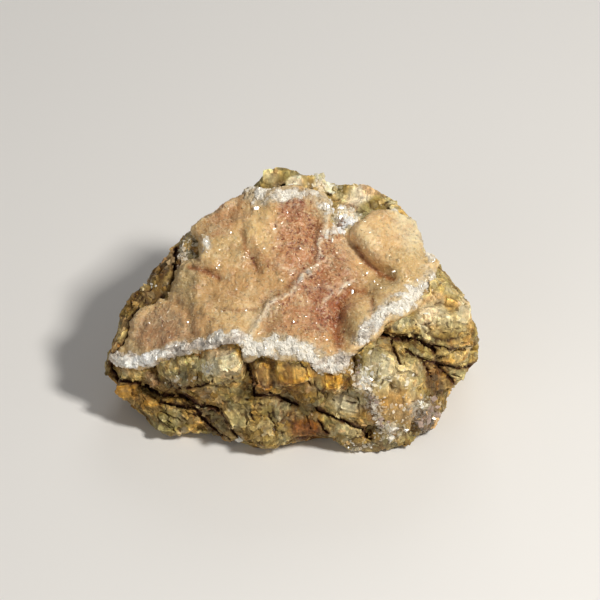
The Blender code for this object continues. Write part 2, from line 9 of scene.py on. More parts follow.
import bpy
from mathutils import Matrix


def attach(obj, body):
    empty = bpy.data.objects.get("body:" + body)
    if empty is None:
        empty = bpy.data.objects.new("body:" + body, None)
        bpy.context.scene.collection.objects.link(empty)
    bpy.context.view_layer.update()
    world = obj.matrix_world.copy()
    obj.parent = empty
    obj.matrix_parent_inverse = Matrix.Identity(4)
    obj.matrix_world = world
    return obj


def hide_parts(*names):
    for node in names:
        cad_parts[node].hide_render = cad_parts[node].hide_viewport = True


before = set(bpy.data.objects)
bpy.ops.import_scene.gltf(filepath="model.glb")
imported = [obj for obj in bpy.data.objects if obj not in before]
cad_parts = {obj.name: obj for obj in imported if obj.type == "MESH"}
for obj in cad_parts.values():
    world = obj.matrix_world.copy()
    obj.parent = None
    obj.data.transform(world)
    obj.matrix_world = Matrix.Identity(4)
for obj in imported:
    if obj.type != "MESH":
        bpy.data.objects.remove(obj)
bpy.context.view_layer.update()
print("solids:", sorted(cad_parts))

# %% [markdown]
# ## Where things are
#
# The show face is looked at from 40 degrees above the horizon. Most of what this lesson places one by one is
# given in the plane that stands square to that line of sight: (across, up) in millimetres from the foot of
# the front wall. These few lines turn a point of the model into that plane and back.

# %% The show plane
import math

import bmesh
import bpy
import numpy as np
from mathutils import Matrix, Vector
from mathutils.bvhtree import BVHTree

MM = 0.001
SHOW_ELEVATION = math.radians(40.0)
ACROSS = np.array([1.0, 0.0, 0.0])
UP_FACE = np.array([0.0, math.sin(SHOW_ELEVATION), math.cos(SHOW_ELEVATION)])
OUT = np.array([0.0, -math.cos(SHOW_ELEVATION), math.sin(SHOW_ELEVATION)])
FRONT_FOOT = np.array([-0.049, -28.909, -0.2])  # millimetres, where (0, 0) of the show plane is


def show_plane(points):
    """(across, up, out) in millimetres of points in millimetres."""
    measured = points - FRONT_FOOT
    return measured @ ACROSS, measured @ UP_FACE, measured @ OUT


def show_point(across, up, out):
    """A point of the model in metres, from the show plane's millimetres."""
    return Vector((ACROSS * across + UP_FACE * up + OUT * out + FRONT_FOOT) * MM)


def slanted(degrees):
    """The directions along and across something that rises by so many degrees to the right."""
    part_across, part_up = math.cos(math.radians(degrees)), math.sin(math.radians(degrees))
    return ACROSS * part_across + UP_FACE * part_up, UP_FACE * part_across - ACROSS * part_up


CRUST_EDGE = [
    # (across, up) of the crust's edge, from its left toe along the top and back along the front rim
    (-42.5, 22.5), (-40, 24.5), (-37.5, 28), (-37, 31.5), (-35.5, 33.5), (-31, 35.5), (-28.5, 36.5),
    (-28, 38.5), (-26.5, 41), (-26.5, 43), (-25, 45), (-21.5, 46), (-21.5, 50.5), (-24, 54), (-19.5, 57.5),
    (-12, 62.5), (-9.5, 62.5), (-7, 62), (-4, 62), (-1.5, 63), (2, 63), (5, 62), (7.5, 61), (9.5, 59),
    (8.5, 54.5), (10, 52), (12.5, 51.5), (14.5, 52.5), (17, 54.5), (20.5, 56.5), (24.5, 59), (29, 60),
    (33, 55), (34, 47.5), (35, 45), (33.5, 44), (34, 41), (33.5, 38), (31, 36), (28.5, 33.5), (26, 32.5),
    (23, 31.5), (21, 30), (20.5, 28.5), (18, 26.5), (15.5, 24.5), (13, 23), (13, 20.5), (9.5, 19.5),
    (6.5, 20), (4, 22), (0, 22.5), (-4, 22.5), (-7, 24), (-10.5, 22), (-11, 23), (-11.5, 26.5), (-14, 27),
    (-18, 25.5), (-24, 24), (-31, 22.5), (-35.5, 20), (-41.5, 21),
]

print("show plane's origin at", tuple(round(c, 4) for c in show_point(0, 0, 0)))

# %% [markdown]
# ## Camera, floor and lights
#
# A long lens from 1.2 metres away keeps the block's proportions true. The key light is a small panel at the
# upper right: being small, it gives every block of the rock a lit side and a crisp shaded side, and makes the
# crystals glitter. A large weak panel at the left and another behind soften the shadows, and a dim sky fills
# in the rest. The floor is plain and pale.

# %% Camera
SENSOR_WIDTH = 36.0  # millimetres
VIEW_DISTANCE = 1.2  # metres
VIEW_WIDTH = 0.1416  # metres across the frame at the specimen


def add_object(name, data):
    made = bpy.data.objects.new(name, data)
    bpy.context.scene.collection.objects.link(made)
    return made


def look_at(thing, target):
    thing.rotation_euler = (target - thing.location).to_track_quat("-Z", "Y").to_euler()


lens = bpy.data.cameras.new("camera")
lens.sensor_width = SENSOR_WIDTH
lens.lens = SENSOR_WIDTH * VIEW_DISTANCE / VIEW_WIDTH
lens.clip_start, lens.clip_end = 0.05, 20.0
camera = add_object("camera", lens)
aim = show_point(2.1, 36.1, 8.0)
camera.location = aim + Vector(OUT) * VIEW_DISTANCE
look_at(camera, aim)
bpy.context.scene.camera = camera
print("camera at", tuple(round(c, 3) for c in camera.location), "lens", round(lens.lens), "mm")

# %% Floor
FLOOR_COLOUR = (0.80, 0.79, 0.78, 1.0)


def mesh_from(shape, name):
    """The mesh of a finished bmesh."""
    mesh = bpy.data.meshes.new(name)
    shape.to_mesh(mesh)
    shape.free()
    return mesh


shape = bmesh.new()
bmesh.ops.create_circle(shape, cap_ends=True, segments=96, radius=4.0)
floor = add_object("floor", mesh_from(shape, "floor"))
paper = bpy.data.materials.new("pale paper")
paper.use_nodes = True
paper_shader = paper.node_tree.nodes["Principled BSDF"]
paper_shader.inputs["Base Color"].default_value = FLOOR_COLOUR
paper_shader.inputs["Roughness"].default_value = 0.9
floor.data.materials.append(paper)
print("floor", len(floor.data.polygons), "face")


# %% Lights
def panel(name, place, size, watts, colour):
    """A square soft light that faces the specimen."""
    light = bpy.data.lights.new(name, "AREA")
    light.shape = "SQUARE"
    light.size = size
    light.energy = watts
    light.color = colour
    made = add_object(name, light)
    made.location = place
    look_at(made, Vector((0.0, 0.0, 0.02)))
    return made


key = panel("key", (0.38, -0.27, 0.56), 0.11, 4.75, (1.0, 0.965, 0.90))
panel("fill", (-0.50, -0.62, 0.30), 0.60, 1.10, (1.0, 0.985, 0.96))
panel("back strip", (0.10, 0.60, 0.45), 0.40, 0.9, (1.0, 0.98, 0.95))
sky = bpy.data.worlds.new("soft room")
sky.use_nodes = True
glow = sky.node_tree.nodes["Background"]
glow.inputs["Color"].default_value = (1.0, 0.985, 0.96, 1.0)
glow.inputs["Strength"].default_value = 0.14
bpy.context.scene.world = sky
bpy.context.scene.view_settings.view_transform = "Standard"

# %% [markdown]
# ## Chance that repeats
#
# Stone is irregular, but the lesson has to give the same stone every time. So every random draw starts from
# a fixed whole number, its seed. For patterns in space, the number of a cell in a grid is stirred until it
# looks random, and the same cell always gives the same value. Two patterns are made of that: a smooth noise
# for stains and swells, and cells with a centre each, which are the grains and blocks of a broken rock.


# %% Noise and cells
def chance_of(cell, seed, channel=0):
    """0 to 1 for each whole-numbered cell, the same on every run."""
    stirred = cell[..., 0] * 374761393 + cell[..., 1] * 668265263 + cell[..., 2] * 1274126177
    stirred = (stirred + seed * 974711 + channel * 35317) & 0xFFFFFFFF
    stirred = ((stirred ^ (stirred >> 13)) * 1103515245) & 0xFFFFFFFF
    stirred = ((stirred ^ (stirred >> 15)) * 668265263) & 0xFFFFFFFF
    return ((stirred ^ (stirred >> 16)) & 0xFFFFFF) / float(0xFFFFFF)


def smooth_noise(points, size, seed, layers=1):
    """Smooth noise from 0 to 1 with swells `size` millimetres wide, and finer ones in each further layer."""
    total, weight = np.zeros(len(points)), 0.0
    for layer in range(layers):
        scaled = points * (2.0**layer / size)
        low = np.floor(scaled).astype(np.int64)
        part = scaled - low
        part = part * part * (3.0 - 2.0 * part)
        for corner in np.ndindex(2, 2, 2):
            share = np.prod(np.where(corner, part, 1.0 - part), axis=1)
            total += share * chance_of(low + corner, seed + layer) * 0.5**layer
        weight += 0.5**layer
    return total / weight


def cells(points, size, seed):
    """Each point's nearest cell centre, the distances to it and to the next one, and the cell's number."""
    scaled = points / size
    low = np.floor(scaled).astype(np.int64)
    nearest, second = np.full(len(points), 9.0), np.full(len(points), 9.0)
    centre, owner = np.zeros_like(scaled), np.zeros_like(low)
    for step in np.ndindex(3, 3, 3):
        cell = low + step - 1
        place = cell + 0.1 + 0.8 * np.stack([chance_of(cell, seed, axis) for axis in range(3)], axis=1)
        away = np.linalg.norm(scaled - place, axis=1)
        closer = away < nearest
        second = np.where(closer, nearest, np.minimum(second, away))
        nearest = np.where(closer, away, nearest)
        centre[closer], owner[closer] = place[closer], cell[closer]
    return centre * size, nearest * size, second * size, owner


trial = np.random.default_rng(1).uniform(-30, 30, (2000, 3))
trial_noise = smooth_noise(trial, 5, 1)
print("noise runs from", round(trial_noise.min(), 2), "to", round(trial_noise.max(), 2))

# %% [markdown]
# ## Masks
#
# A mask is a number from 0 to 1 for each point that says how much a shape or a colour counts there. These
# masks are drawn in the show plane: an oval patch with soft edges, a stroke along a line of several
# stretches, and the inside of a closed outline. Before a mask is read, the place of each point is pushed
# about a little with noise, so that no edge looks drawn.


# %% Masks in the show plane
def unit(directions):
    """The same directions, each with length 1."""
    return directions / np.linalg.norm(directions, axis=1)[:, None]


def fade(low, high, value):
    """0 below `low`, 1 above `high`, and smooth between."""
    share = np.clip((value - low) / (high - low), 0.0, 1.0)
    return share * share * (3.0 - 2.0 * share)


def mixed(first, second, share):
    """The first where the share is 0, the second where it is 1."""
    return first * (1.0 - share) + second * share


def distance_to(line, across, up):
    """Distance to a line of several stretches, in the show plane."""
    nearest = np.full(len(across), 1e9)
    for (a0, u0), (a1, u1) in zip(line, line[1:]):
        run, rise = a1 - a0, u1 - u0
        share = np.clip(((across - a0) * run + (up - u0) * rise) / (run * run + rise * rise), 0.0, 1.0)
        nearest = np.minimum(nearest, np.hypot(across - a0 - share * run, up - u0 - share * rise))
    return nearest


def stroke(line, across, up, half_width):
    """1 on a line, falling off on both sides."""
    return np.exp(-((distance_to(line, across, up) / half_width) ** 2))


def oval(across, up, a, u, half_width, half_height, slant=0.0, soft=0.35):
    """1 inside an oval, fading out over `soft` of its size at its edge; `slant` in degrees turns it."""
    turn = math.radians(slant)
    along = (across - a) * math.cos(turn) + (up - u) * math.sin(turn)
    aside = -(across - a) * math.sin(turn) + (up - u) * math.cos(turn)
    reach = np.hypot(along / half_width, aside / half_height)
    return 1.0 - fade(1.0 - soft, 1.0 + soft, reach)


def ovals(areas, across, up, soft):
    """The strongest of several ovals at each point. A sixth number of an oval is its amount."""
    amounts = [area[5] if area[5:] else 1.0 for area in areas]
    return np.max([many * oval(across, up, *area[:5], soft) for many, area in zip(amounts, areas)], axis=0)


def strokes(lines, across, up):
    """The strongest of several strokes at each point, each a line, its half width and its amount."""
    return np.max([amount * stroke(line, across, up, width) for line, width, amount in lines], axis=0)


def depth_inside(outline, across, up):
    """Distance to a closed outline, positive inside it."""
    inside = np.zeros(len(across), bool)
    for (a0, u0), (a1, u1) in zip(outline, outline[1:] + outline[:1]):
        crossed = (u0 > up) != (u1 > up)
        inside ^= crossed & (across < a0 + (up - u0) * (a1 - a0) / (u1 - u0 or 1e-9))
    away = distance_to(outline + outline[:1], across, up)
    return np.where(inside, away, -away)


def wandered(points, reach, size, seed):
    """Show-plane places of the points, pushed about by up to `reach` millimetres."""
    across, up, _ = show_plane(points)
    across = across + (smooth_noise(points, size, seed, 2) - 0.5) * 2.0 * reach
    up = up + (smooth_noise(points, size, seed + 50, 2) - 0.5) * 2.0 * reach
    return across, up


print("half way across an oval's edge:", oval(np.array([10.0]), np.array([0.0]), 0, 0, 10, 5)[0])

# %% [markdown]
# ## From a solid to a fine skin
#
# A solid from the frame is loose triangles, so its copy is merged first. A voxel remesh then gives it an
# even mesh that can be pushed in and out point by point. All the sculpting is done in millimetres on plain
# arrays, which is far quicker than moving vertices one at a time.


# %% Mesh helpers
ROCK_VOXEL, CRUST_VOXEL = 0.27, 0.22  # millimetres between the points of the fine copies
BLOCK_SINK = 0.18  # how far a block's middle lies below the surface, in parts of its depth
FINE_ROUNDS = 4  # rounds of evening out that leave only the finest hollows to be measured


def fine_copy(node, voxel, blocks=()):
    """A merged, evenly remeshed copy of a packed solid with some blocks set into it, in millimetres."""
    shape = bmesh.new()
    shape.from_mesh(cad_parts[node].data)
    bmesh.ops.remove_doubles(shape, verts=shape.verts, dist=1e-6)
    bmesh.ops.scale(shape, verts=shape.verts, vec=(1 / MM, 1 / MM, 1 / MM))
    surface = BVHTree.FromBMesh(shape)
    for seed, (across, up, width, height, slant, _) in enumerate(blocks):
        sight = Vector(OUT)
        hit = surface.ray_cast(show_point(across, up, 90.0) / MM, -sight)[0]
        if hit is None:
            hit = surface.find_nearest(show_point(across, up, 20.0) / MM)[0]
        chance = np.random.default_rng(seed + 200)
        axes = Matrix((ACROSS, UP_FACE, OUT)).transposed() @ Matrix.Rotation(math.radians(slant), 3, "Z")
        for axis in "XYZ":
            axes = axes @ Matrix.Rotation(chance.uniform(-0.25, 0.25), 3, axis)
        depth = 0.8 * min(width, height)
        middle = hit - sight * BLOCK_SINK * depth
        turn = Matrix.Translation(middle) @ axes.to_4x4() @ Matrix.Diagonal((width, height, depth, 1.0))
        made = bmesh.ops.create_cube(shape, size=1.0, matrix=turn)
        for corner in made["verts"]:
            corner.co += Vector(chance.uniform(-0.13, 0.13, 3)) * depth
    piece = add_object(node + "_fine", mesh_from(shape, node + " fine"))
    remesh = piece.modifiers.new("even mesh", "REMESH")
    remesh.mode = "VOXEL"
    remesh.voxel_size = voxel
    settle(piece)
    return piece


def settle(piece):
    """Applies a piece's modifiers."""
    bpy.context.view_layer.update()
    mesh = bpy.data.meshes.new_from_object(piece.evaluated_get(bpy.context.evaluated_depsgraph_get()))
    piece.modifiers.clear()
    piece.data = mesh


def read_rows(source, name, width=3, kind=np.float64):
    """One row of numbers for each element of a mesh."""
    found = np.empty(len(source) * width, kind)
    source.foreach_get(name, found)
    return found.reshape(-1, width)


def points_of(mesh):
    return read_rows(mesh.vertices, "co")


def normals_of(mesh):
    return read_rows(mesh.vertex_normals, "vector")


def edges_of(mesh):
    return read_rows(mesh.edges, "vertices", 2, np.int32)


def corners_of(mesh):
    """The three points of each triangle."""
    mesh.calc_loop_triangles()
    return read_rows(mesh.loop_triangles, "vertices", 3, np.int32)


def above_table(points):
    """The points, with any that lie below the table lifted onto it."""
    points[:, 2] = np.maximum(points[:, 2], 0.0)
    return points


def put_points(mesh, points):
    mesh.vertices.foreach_set("co", points.astype(np.float32).ravel())
    mesh.update()


def relaxed(values, edges, rounds, share=0.6):
    """Values of the points evened out with those of their neighbours."""
    ends = np.concatenate([edges, edges[:, ::-1]])
    count = np.bincount(ends[:, 0], minlength=len(values))
    for _ in range(rounds):
        sums = [np.bincount(ends[:, 0], part[ends[:, 1]], len(values)) for part in values.T]
        values = values * (1.0 - share) + np.stack(sums, axis=1) / np.maximum(count, 1)[:, None] * share
    return values


def hollows(points, normals, edges, rounds):
    """How far each point lies below the evened-out surface: positive in hollows, negative on edges."""
    return np.einsum("ij,ij->i", relaxed(points, edges, rounds) - points, normals)


def skin_of(mesh, wide_rounds):
    """Points and normals of a skin, and its wide and its fine hollows."""
    skin = points_of(mesh), normals_of(mesh), edges_of(mesh)
    return *skin[:2], hollows(*skin, wide_rounds), hollows(*skin, FINE_ROUNDS)


def store_colour(mesh, name, values):
    layer = mesh.color_attributes.new(name, "FLOAT_COLOR", "POINT")
    solid = np.column_stack([values, np.ones(len(values))])
    layer.data.foreach_set("color", solid.astype(np.float32).ravel())


def store_number(mesh, name, values):
    layer = mesh.attributes.new(name, "FLOAT", "POINT")
    layer.data.foreach_set("value", values.astype(np.float32))


print("the solids are copied with points every", round(CRUST_VOXEL, 2), "to", round(ROCK_VOXEL, 2), "mm")

# %% [markdown]
# ## The rock's shape
#
# The block broke along grains of many sizes. Each level of cells tilts and steps the surface a little and
# opens a crack where two cells meet, first at three millimetres and then finer. At the lower left and on the
# right shoulder the rock splits into slabs, so there the cells are squeezed across the slabs' direction.

# %% Cracks of the rock
CRACKS = [
    # line, half width and depth of the packed groove
    ([(-42, 19), (-41, 17), (-35, 16), (-31, 13.5), (-25, 13.5), (-21.5, 11), (-17.5, 10)], 1.1, 4),
    ([(-31, 12), (-26.5, 11), (-22.5, 10.5), (-19, 6), (-16.5, 4)], 1, 2.6),
    ([(-16.5, 9.5), (-13.5, 4.5), (-12, 3)], 0.7, 1.6), ([(-26.5, 15), (-20.5, 16), (-18.5, 17)], 0.6, 1.4),
    ([(-11.5, 26.5), (-11, 22.5), (-9, 17.5), (-8.5, 13.5), (-5, 14), (1.5, 11.5)], 0.9, 2.2),
    ([(6, 10.5), (9, 9), (16, 6), (19, 3.5)], 0.8, 2.2), ([(6.5, 7.5), (8.5, 4.5)], 0.8, 1.8),
    ([(20.5, 28.5), (24.5, 27), (29.5, 27), (34, 24)], 1.1, 3.6),
    ([(23.5, 26.5), (24, 24.5), (25.5, 21.5)], 0.7, 1.6),
    ([(27, 24), (33, 21.5), (39.5, 20), (44, 20.5)], 0.8, 2.4), ([(31, 22), (33, 18)], 0.9, 1.8),
    ([(34, 21.5), (39, 16)], 0.7, 1.8), ([(33.5, 25.5), (37.5, 24.5), (44, 24.5)], 0.5, 1.2),
    ([(-27.5, 48.5), (-28, 45), (-27, 42.5), (-28.5, 37)], 1.2, 3),
    ([(-36.5, 33.5), (-37.5, 28), (-42.5, 21.5), (-42.5, 19)], 1, 2.8),
    ([(12.5, 24.5), (15, 23.5)], 0.9, 2.2),
]
HAIR_WIDTH = 0.26  # half of it, in millimetres
HAIR_CRACKS = [
    [(-26.5, 9), (-22.5, 4.5)], [(-23.5, 9.5), (-19.5, 5.5)], [(-29.5, 6.5), (-27.5, 4)],
    [(-9.5, 10), (-7.5, 4.5)], [(-5.5, 9), (-1.5, 5)], [(-1.5, 16.5), (-2.5, 12.5)],
    [(1.5, 22), (4.5, 17), (9, 14)], [(6, 17), (6.5, 13.5)], [(10, 21), (10.5, 15)],
    [(13.5, 19), (13.5, 14.5)], [(15.5, 13.5), (16.5, 9)], [(9.5, 12.5), (15, 11.5)], [(20.5, 22), (21, 16)],
    [(18.5, 9), (22, 8)], [(28, 12), (30.5, 10)], [(31.5, 33), (33.5, 28.5)], [(36.5, 34), (37.5, 29)],
    [(34.5, 30.5), (40, 29)], [(29, 31), (30, 28.5)], [(-36, 12.5), (-34, 9.5)], [(-22, 19.5), (-21.5, 16)],
    [(-28, 14), (-27.5, 11)], [(-14.5, 19), (-13, 14.5)], [(-39.5, 16.5), (-37, 13)], [(35, 21), (41, 17)],
    [(-16.5, 13), (-15.5, 10)], [(4, 9), (5, 3.5)], [(17.8, 59.3), (20.4, 62)], [(19.8, 59.2), (23.6, 62)],
    [(22.4, 59), (25.6, 60.8)], [(-32, 8.6), (-29.6, 5.2)], [(-30.6, 9.2), (-25.6, 7.2)],
    [(-27, 5.6), (-24, 3.6)], [(-41, 12.6), (-38.6, 11.4)], [(-36.5, 14.2), (-34.8, 11.8)],
    [(-17.4, 6.4), (-14.6, 2.6)], [(-10.6, 12.6), (-6.8, 11.2)],
]


def crack_mask(across, up, widen):
    return strokes([(line, half_width * widen, 1.0) for line, half_width, _ in CRACKS], across, up)


def hair_mask(points):
    """Thin crooked cracks that open and close along their length."""
    across, up = wandered(points, 1.1, 2.4, 13)
    lines = strokes([(line, HAIR_WIDTH, 1.0) for line in HAIR_CRACKS], across, up)
    return lines * fade(0.35, 0.6, smooth_noise(points, 2.2, 14, 2))


print(len(CRACKS), "cracks and", len(HAIR_CRACKS), "hair cracks drawn")

# %% [markdown]
# Cells turn into broken stone in two ways. For the large levels every cell is laid flat on a plane of its
# own. For the fine grains it is enough to lift each cell by a step and a lean. Where real stone has a smooth
# crystalline face, both are held back.


# %% Facets and grains
def squeezed(points, direction, factor):
    """Points pressed together along a direction, so that cells read there come out as thin slabs."""
    way = direction / np.linalg.norm(direction)
    return points + np.outer(points @ way, way) * (factor - 1.0)


def bent(points, reach, size, seed):
    """Points pushed about in all three directions, so that cells read there get crooked borders."""
    push = [smooth_noise(points, size, seed + axis, 2) - 0.5 for axis in range(3)]
    return points + np.stack(push, axis=1) * 2.0 * reach


def facets(points, normals, size, seed, flatten, step, lean, read_at=None, reach=0.9):
    """How far each point moves so that every cell becomes one flat, slightly leaning and stepped face.

    Also gives the distance of each point from its cell's border, in millimetres.
    """
    _, nearest, second, owner = cells(points if read_at is None else read_at, size, seed)
    _, block = np.unique(owner, axis=0, return_inverse=True)
    block = block.ravel()
    count = np.bincount(block)[:, None]
    middle = np.stack([np.bincount(block, column) for column in points.T], axis=1) / count
    face = np.stack([np.bincount(block, column) for column in normals.T], axis=1) / count
    agreed = fade(0.3, 0.7, np.linalg.norm(face, axis=1))[block]
    chance = np.random.default_rng(seed).uniform(-1.0, 1.0, (len(count), 4))
    face = unit(face / (np.linalg.norm(face, axis=1)[:, None] + 1e-9) + chance[:, :3] * lean)
    gap = np.einsum("ij,ij->i", middle[block] - points, face[block])
    lift = np.clip(gap * flatten, -reach, reach) + chance[block, 3] * step
    return face[block] * (lift * agreed)[:, None], (second - nearest) / 2.0


def grain_relief(points, size, step, tilt, crack, seed):
    """Millimetres that a level of grains lifts each point: each grain has its step and its lean."""
    centre, nearest, second, owner = cells(points, size, seed)
    lean = np.stack([chance_of(owner, seed, 3 + axis) - 0.5 for axis in range(3)], axis=1)
    lean /= np.linalg.norm(lean, axis=1)[:, None] + 1e-9
    height = (chance_of(owner, seed, 7) - 0.5) * 2.0 * step
    height += np.einsum("ij,ij->i", points - centre, lean) * tilt
    return height - crack * np.exp(-(((second - nearest) / (0.16 * size)) ** 2))


CALM_AREAS = [
    # smooth crystalline stone, where the chips are shallow: across, up, half width, half height, slant
    (23, 18, 7, 7, 0), (26, 10.5, 7, 5, 0), (36, 33, 8, 4.5, -8), (-4.5, 66, 4.5, 3, 0),
    (16.4, 61.5, 5, 3.4, 0), (9, 63.4, 5, 2.8, -30), (2, 65, 4, 2.6, 0), (-13, 8, 3.5, 4.5, 0),
    (-39.5, 14.8, 4, 2.4, -8), (-17, 21, 5, 3, 6), (14, 11.5, 5, 2.6, -8), (-28, 6.5, 5, 3, 8),
    (3.6, 5.4, 3.6, 2.6, 0), (39.5, 18.5, 3.5, 2.5, -30), (1, 18, 9, 2.6, -5),
]


def calm_mask(points):
    return ovals(CALM_AREAS, *wandered(points, 1.0, 3.0, 16), 0.4)


# Where the rock splits into slabs: across, up, half width, half height; and along and across those slabs.
SLABS_LEFT, SLABS_RIGHT = (-21, 7, 13, 8), (35, 24, 13, 9)
LEFT_ALONG, LEFT_ACROSS = slanted(-42)
RIGHT_ALONG, RIGHT_ACROSS = slanted(-22)
print("slabs are squeezed along", LEFT_ACROSS.round(2), "and", RIGHT_ACROSS.round(2))


# %% [markdown]
# Some blocks stand out so clearly that they are set in one by one: small boxes, each with its own place,
# size, slant and stone colour. The colours come first, since the blocks are painted with them too.


# %% Palette of the rock
def colour(red, green, blue):
    """Linear colour from the usual 0 to 255 values."""
    share = np.array([red, green, blue]) / 255.0
    return np.where(share <= 0.04045, share / 12.92, ((share + 0.055) / 1.055) ** 2.4)


OCHRE = colour(188, 159, 94)
OLIVE = colour(152, 138, 80)
SAGE = colour(192, 186, 144)
STRAW = colour(220, 204, 152)
CREAM = colour(234, 224, 194)
GOLD = colour(208, 154, 52)
RUST = colour(144, 92, 30)
AMBER = colour(132, 70, 0)
BROWN = colour(96, 66, 28)
SEAM = colour(52, 17, 8)
GREY = colour(140, 132, 106)
BLUE_GREY = colour(120, 120, 112)
MILK = colour(240, 234, 220)
LILAC = colour(170, 148, 134)
LEMON = colour(238, 220, 160)
PRIMROSE = colour(252, 245, 214)
FLESH = colour(220, 178, 124)
DUST = colour(182, 163, 130)
BRONZE = colour(164, 122, 52)
print("ochre is", OCHRE.round(2))

# %% Blocks
BLOCKS = [
    # across, up, width, height, slant, colour: the knobs along the top, then the shoulder, then the front
    (-5.1, 65.9, 3.6, 3.6, 12, LEMON), (-1.9, 66.2, 3, 2.4, -10, OLIVE), (1.2, 64.7, 3, 2, 8, CREAM),
    (4.2, 64.8, 2.8, 2.4, 15, OCHRE), (6.9, 65.3, 2.4, 2.4, 10, SAGE), (8.5, 63.2, 4.8, 2.3, -36, PRIMROSE),
    (11.3, 62.8, 3.6, 1.8, -36, OLIVE), (11.4, 60.5, 3.4, 2, -10, STRAW), (13.9, 62.2, 2.4, 2.8, 0, OCHRE),
    (16, 61, 4, 3.7, -8, PRIMROSE), (18.6, 62.2, 2.8, 2.4, -20, FLESH), (19.8, 58.6, 5, 2.2, 24, OLIVE),
    (23.4, 60.2, 4.4, 2.2, -30, SAGE), (30.6, 56, 3.4, 3.4, 10, STRAW), (31, 52.4, 3.4, 3.4, -10, OCHRE),
    (31.6, 48.8, 3.4, 3.4, 8, STRAW), (27, 31, 4, 2.4, -8, SAGE), (31.2, 31.6, 3.6, 3.6, 10, CREAM),
    (38.6, 35, 4, 3, -20, GOLD), (41.2, 33, 2.8, 4.4, -6, CREAM), (36.4, 30.6, 3.6, 2.6, -12, STRAW),
    (39.6, 18.6, 4.6, 3, -32, SAGE), (-13.4, 8.6, 4.4, 6, 4, SAGE), (-7, 5.6, 4.8, 5.6, 6, OCHRE),
    (-2, 10, 3.6, 3.2, -6, GREY), (-39.2, 14.2, 4.6, 3, -10, GOLD), (-33, 17.2, 2.4, 2.8, 12, LILAC),
    (-14.6, 20.6, 4.4, 3.6, 10, CREAM), (-28.7, 6.6, 5, 4, -12, OLIVE), (-6.9, 18.4, 4.2, 6, 2, BRONZE),
    (14.6, 5.6, 4.8, 2.8, -20, STRAW), (14, 11.6, 5, 3.2, -8, CREAM), (9.6, 16.6, 3.6, 4.2, 6, GOLD),
    (22.4, 20, 4, 4, 20, CREAM), (25, 4.6, 3, 3.4, 10, MILK), (34, 9.4, 2.4, 4.4, 8, LILAC),
]
print(len(BLOCKS), "blocks")

# %% [markdown]
# Now the rock is sculpted, from the widest facets to the finest. After the two widest levels the sides and
# the back are evened out a little, as weather does, while the show side keeps its fresh edges.

# %% Sculpt the rock
WIDE_SIZE, BLOCK_SIZE, CHIP_SIZE, GRIT_SIZE = 9.5, 3.8, 1.5, 0.75  # millimetres, the rock's levels of facets
WIDE_SEED, BLOCK_SEED, CHIP_SEED = 26, 21, 22
DENT = (23.6, 15.4, 1.5, 1.5)  # a pit of the solid that is evened out: across, up, half width, half height


def crooked_wide(points):
    return bent(points, 1.4, 6.0, 17)


def crooked_blocks(points):
    return bent(points, 0.7, 2.6, 12)


def split_line(share, points, border, width):
    """The share along the borders of the widest facets, where the stone has split, and 0 elsewhere."""
    return share * np.exp(-((border / width) ** 2)) * fade(0.38, 0.58, smooth_noise(points, 5.0, 18, 2))


rock = fine_copy("matrix", ROCK_VOXEL, BLOCKS)
place = points_of(rock.data)
wires = edges_of(rock.data)
facing = relaxed(normals_of(rock.data), wires, 3)
seen = fade(0.0, 0.35, facing @ OUT)
across, up = wandered(place, 0.5, 3.0, 11)

# The packed grooves are wider than the real ones: they are half filled, and cut again with thin lines.
fill = strokes([(line, width, 0.50 * depth) for line, width, depth in CRACKS], across, up)
cut = strokes([(line, 0.42 * width, 0.35 * depth + 0.6) for line, width, depth in CRACKS], across, up)
cut = np.maximum(cut, 0.6 * hair_mask(place))
shaped = place + np.outer(seen * fill, OUT)

# Large broken faces first. They are strongest on the sides and the back, where no crystals hide them.
wide_faces, wide_border = facets(
    shaped, facing, WIDE_SIZE, WIDE_SEED,
    flatten=0.80, step=0.45, lean=0.14, read_at=crooked_wide(shaped), reach=1.7,
)
shaped += wide_faces * (1.0 - 0.75 * seen)[:, None]
seen_share = seen[:, None]
shaped = mixed(relaxed(shaped, wires, 4), shaped, seen_share)
lively = 0.50 + 0.50 * seen_share

# Then the blocks and, in their two areas, the slabs, and on those the chips and the grit.
crooked = crooked_blocks(shaped)
at_left = (seen * oval(across, up, *SLABS_LEFT))[:, None]
at_right = (seen * oval(across, up, *SLABS_RIGHT))[:, None]
calm = (seen * calm_mask(place))[:, None]
block = {"flatten": 0.55, "step": 0.42, "lean": 0.34}
slab = {"flatten": 0.6, "step": 0.45, "lean": 0.22}
blocks, _ = facets(shaped, facing, BLOCK_SIZE, BLOCK_SEED, read_at=crooked, **block)
left_slabs, _ = facets(shaped, facing, 4.4, 24, read_at=squeezed(crooked, LEFT_ACROSS, 2.8), **slab)
right_slabs, _ = facets(shaped, facing, 4.6, 25, read_at=squeezed(crooked, RIGHT_ACROSS, 3.0), **slab)
blocks *= 1.0 - 0.5 * calm
shaped += lively * (blocks * (1 - at_left) * (1 - at_right) + left_slabs * at_left + right_slabs * at_right)
shaped = mixed(relaxed(shaped, wires, 2), shaped, seen_share)
rough = lively * (1.0 - 0.72 * calm)
crooked = bent(shaped, 0.3, 1.2, 15)
chips, _ = facets(shaped, facing, CHIP_SIZE, CHIP_SEED, flatten=0.55, step=0.15, lean=0.36, read_at=crooked)
shaped += chips * rough
grits, _ = facets(shaped, facing, GRIT_SIZE, 23, flatten=0.4, step=0.05, lean=0.30)
shaped += grits * rough

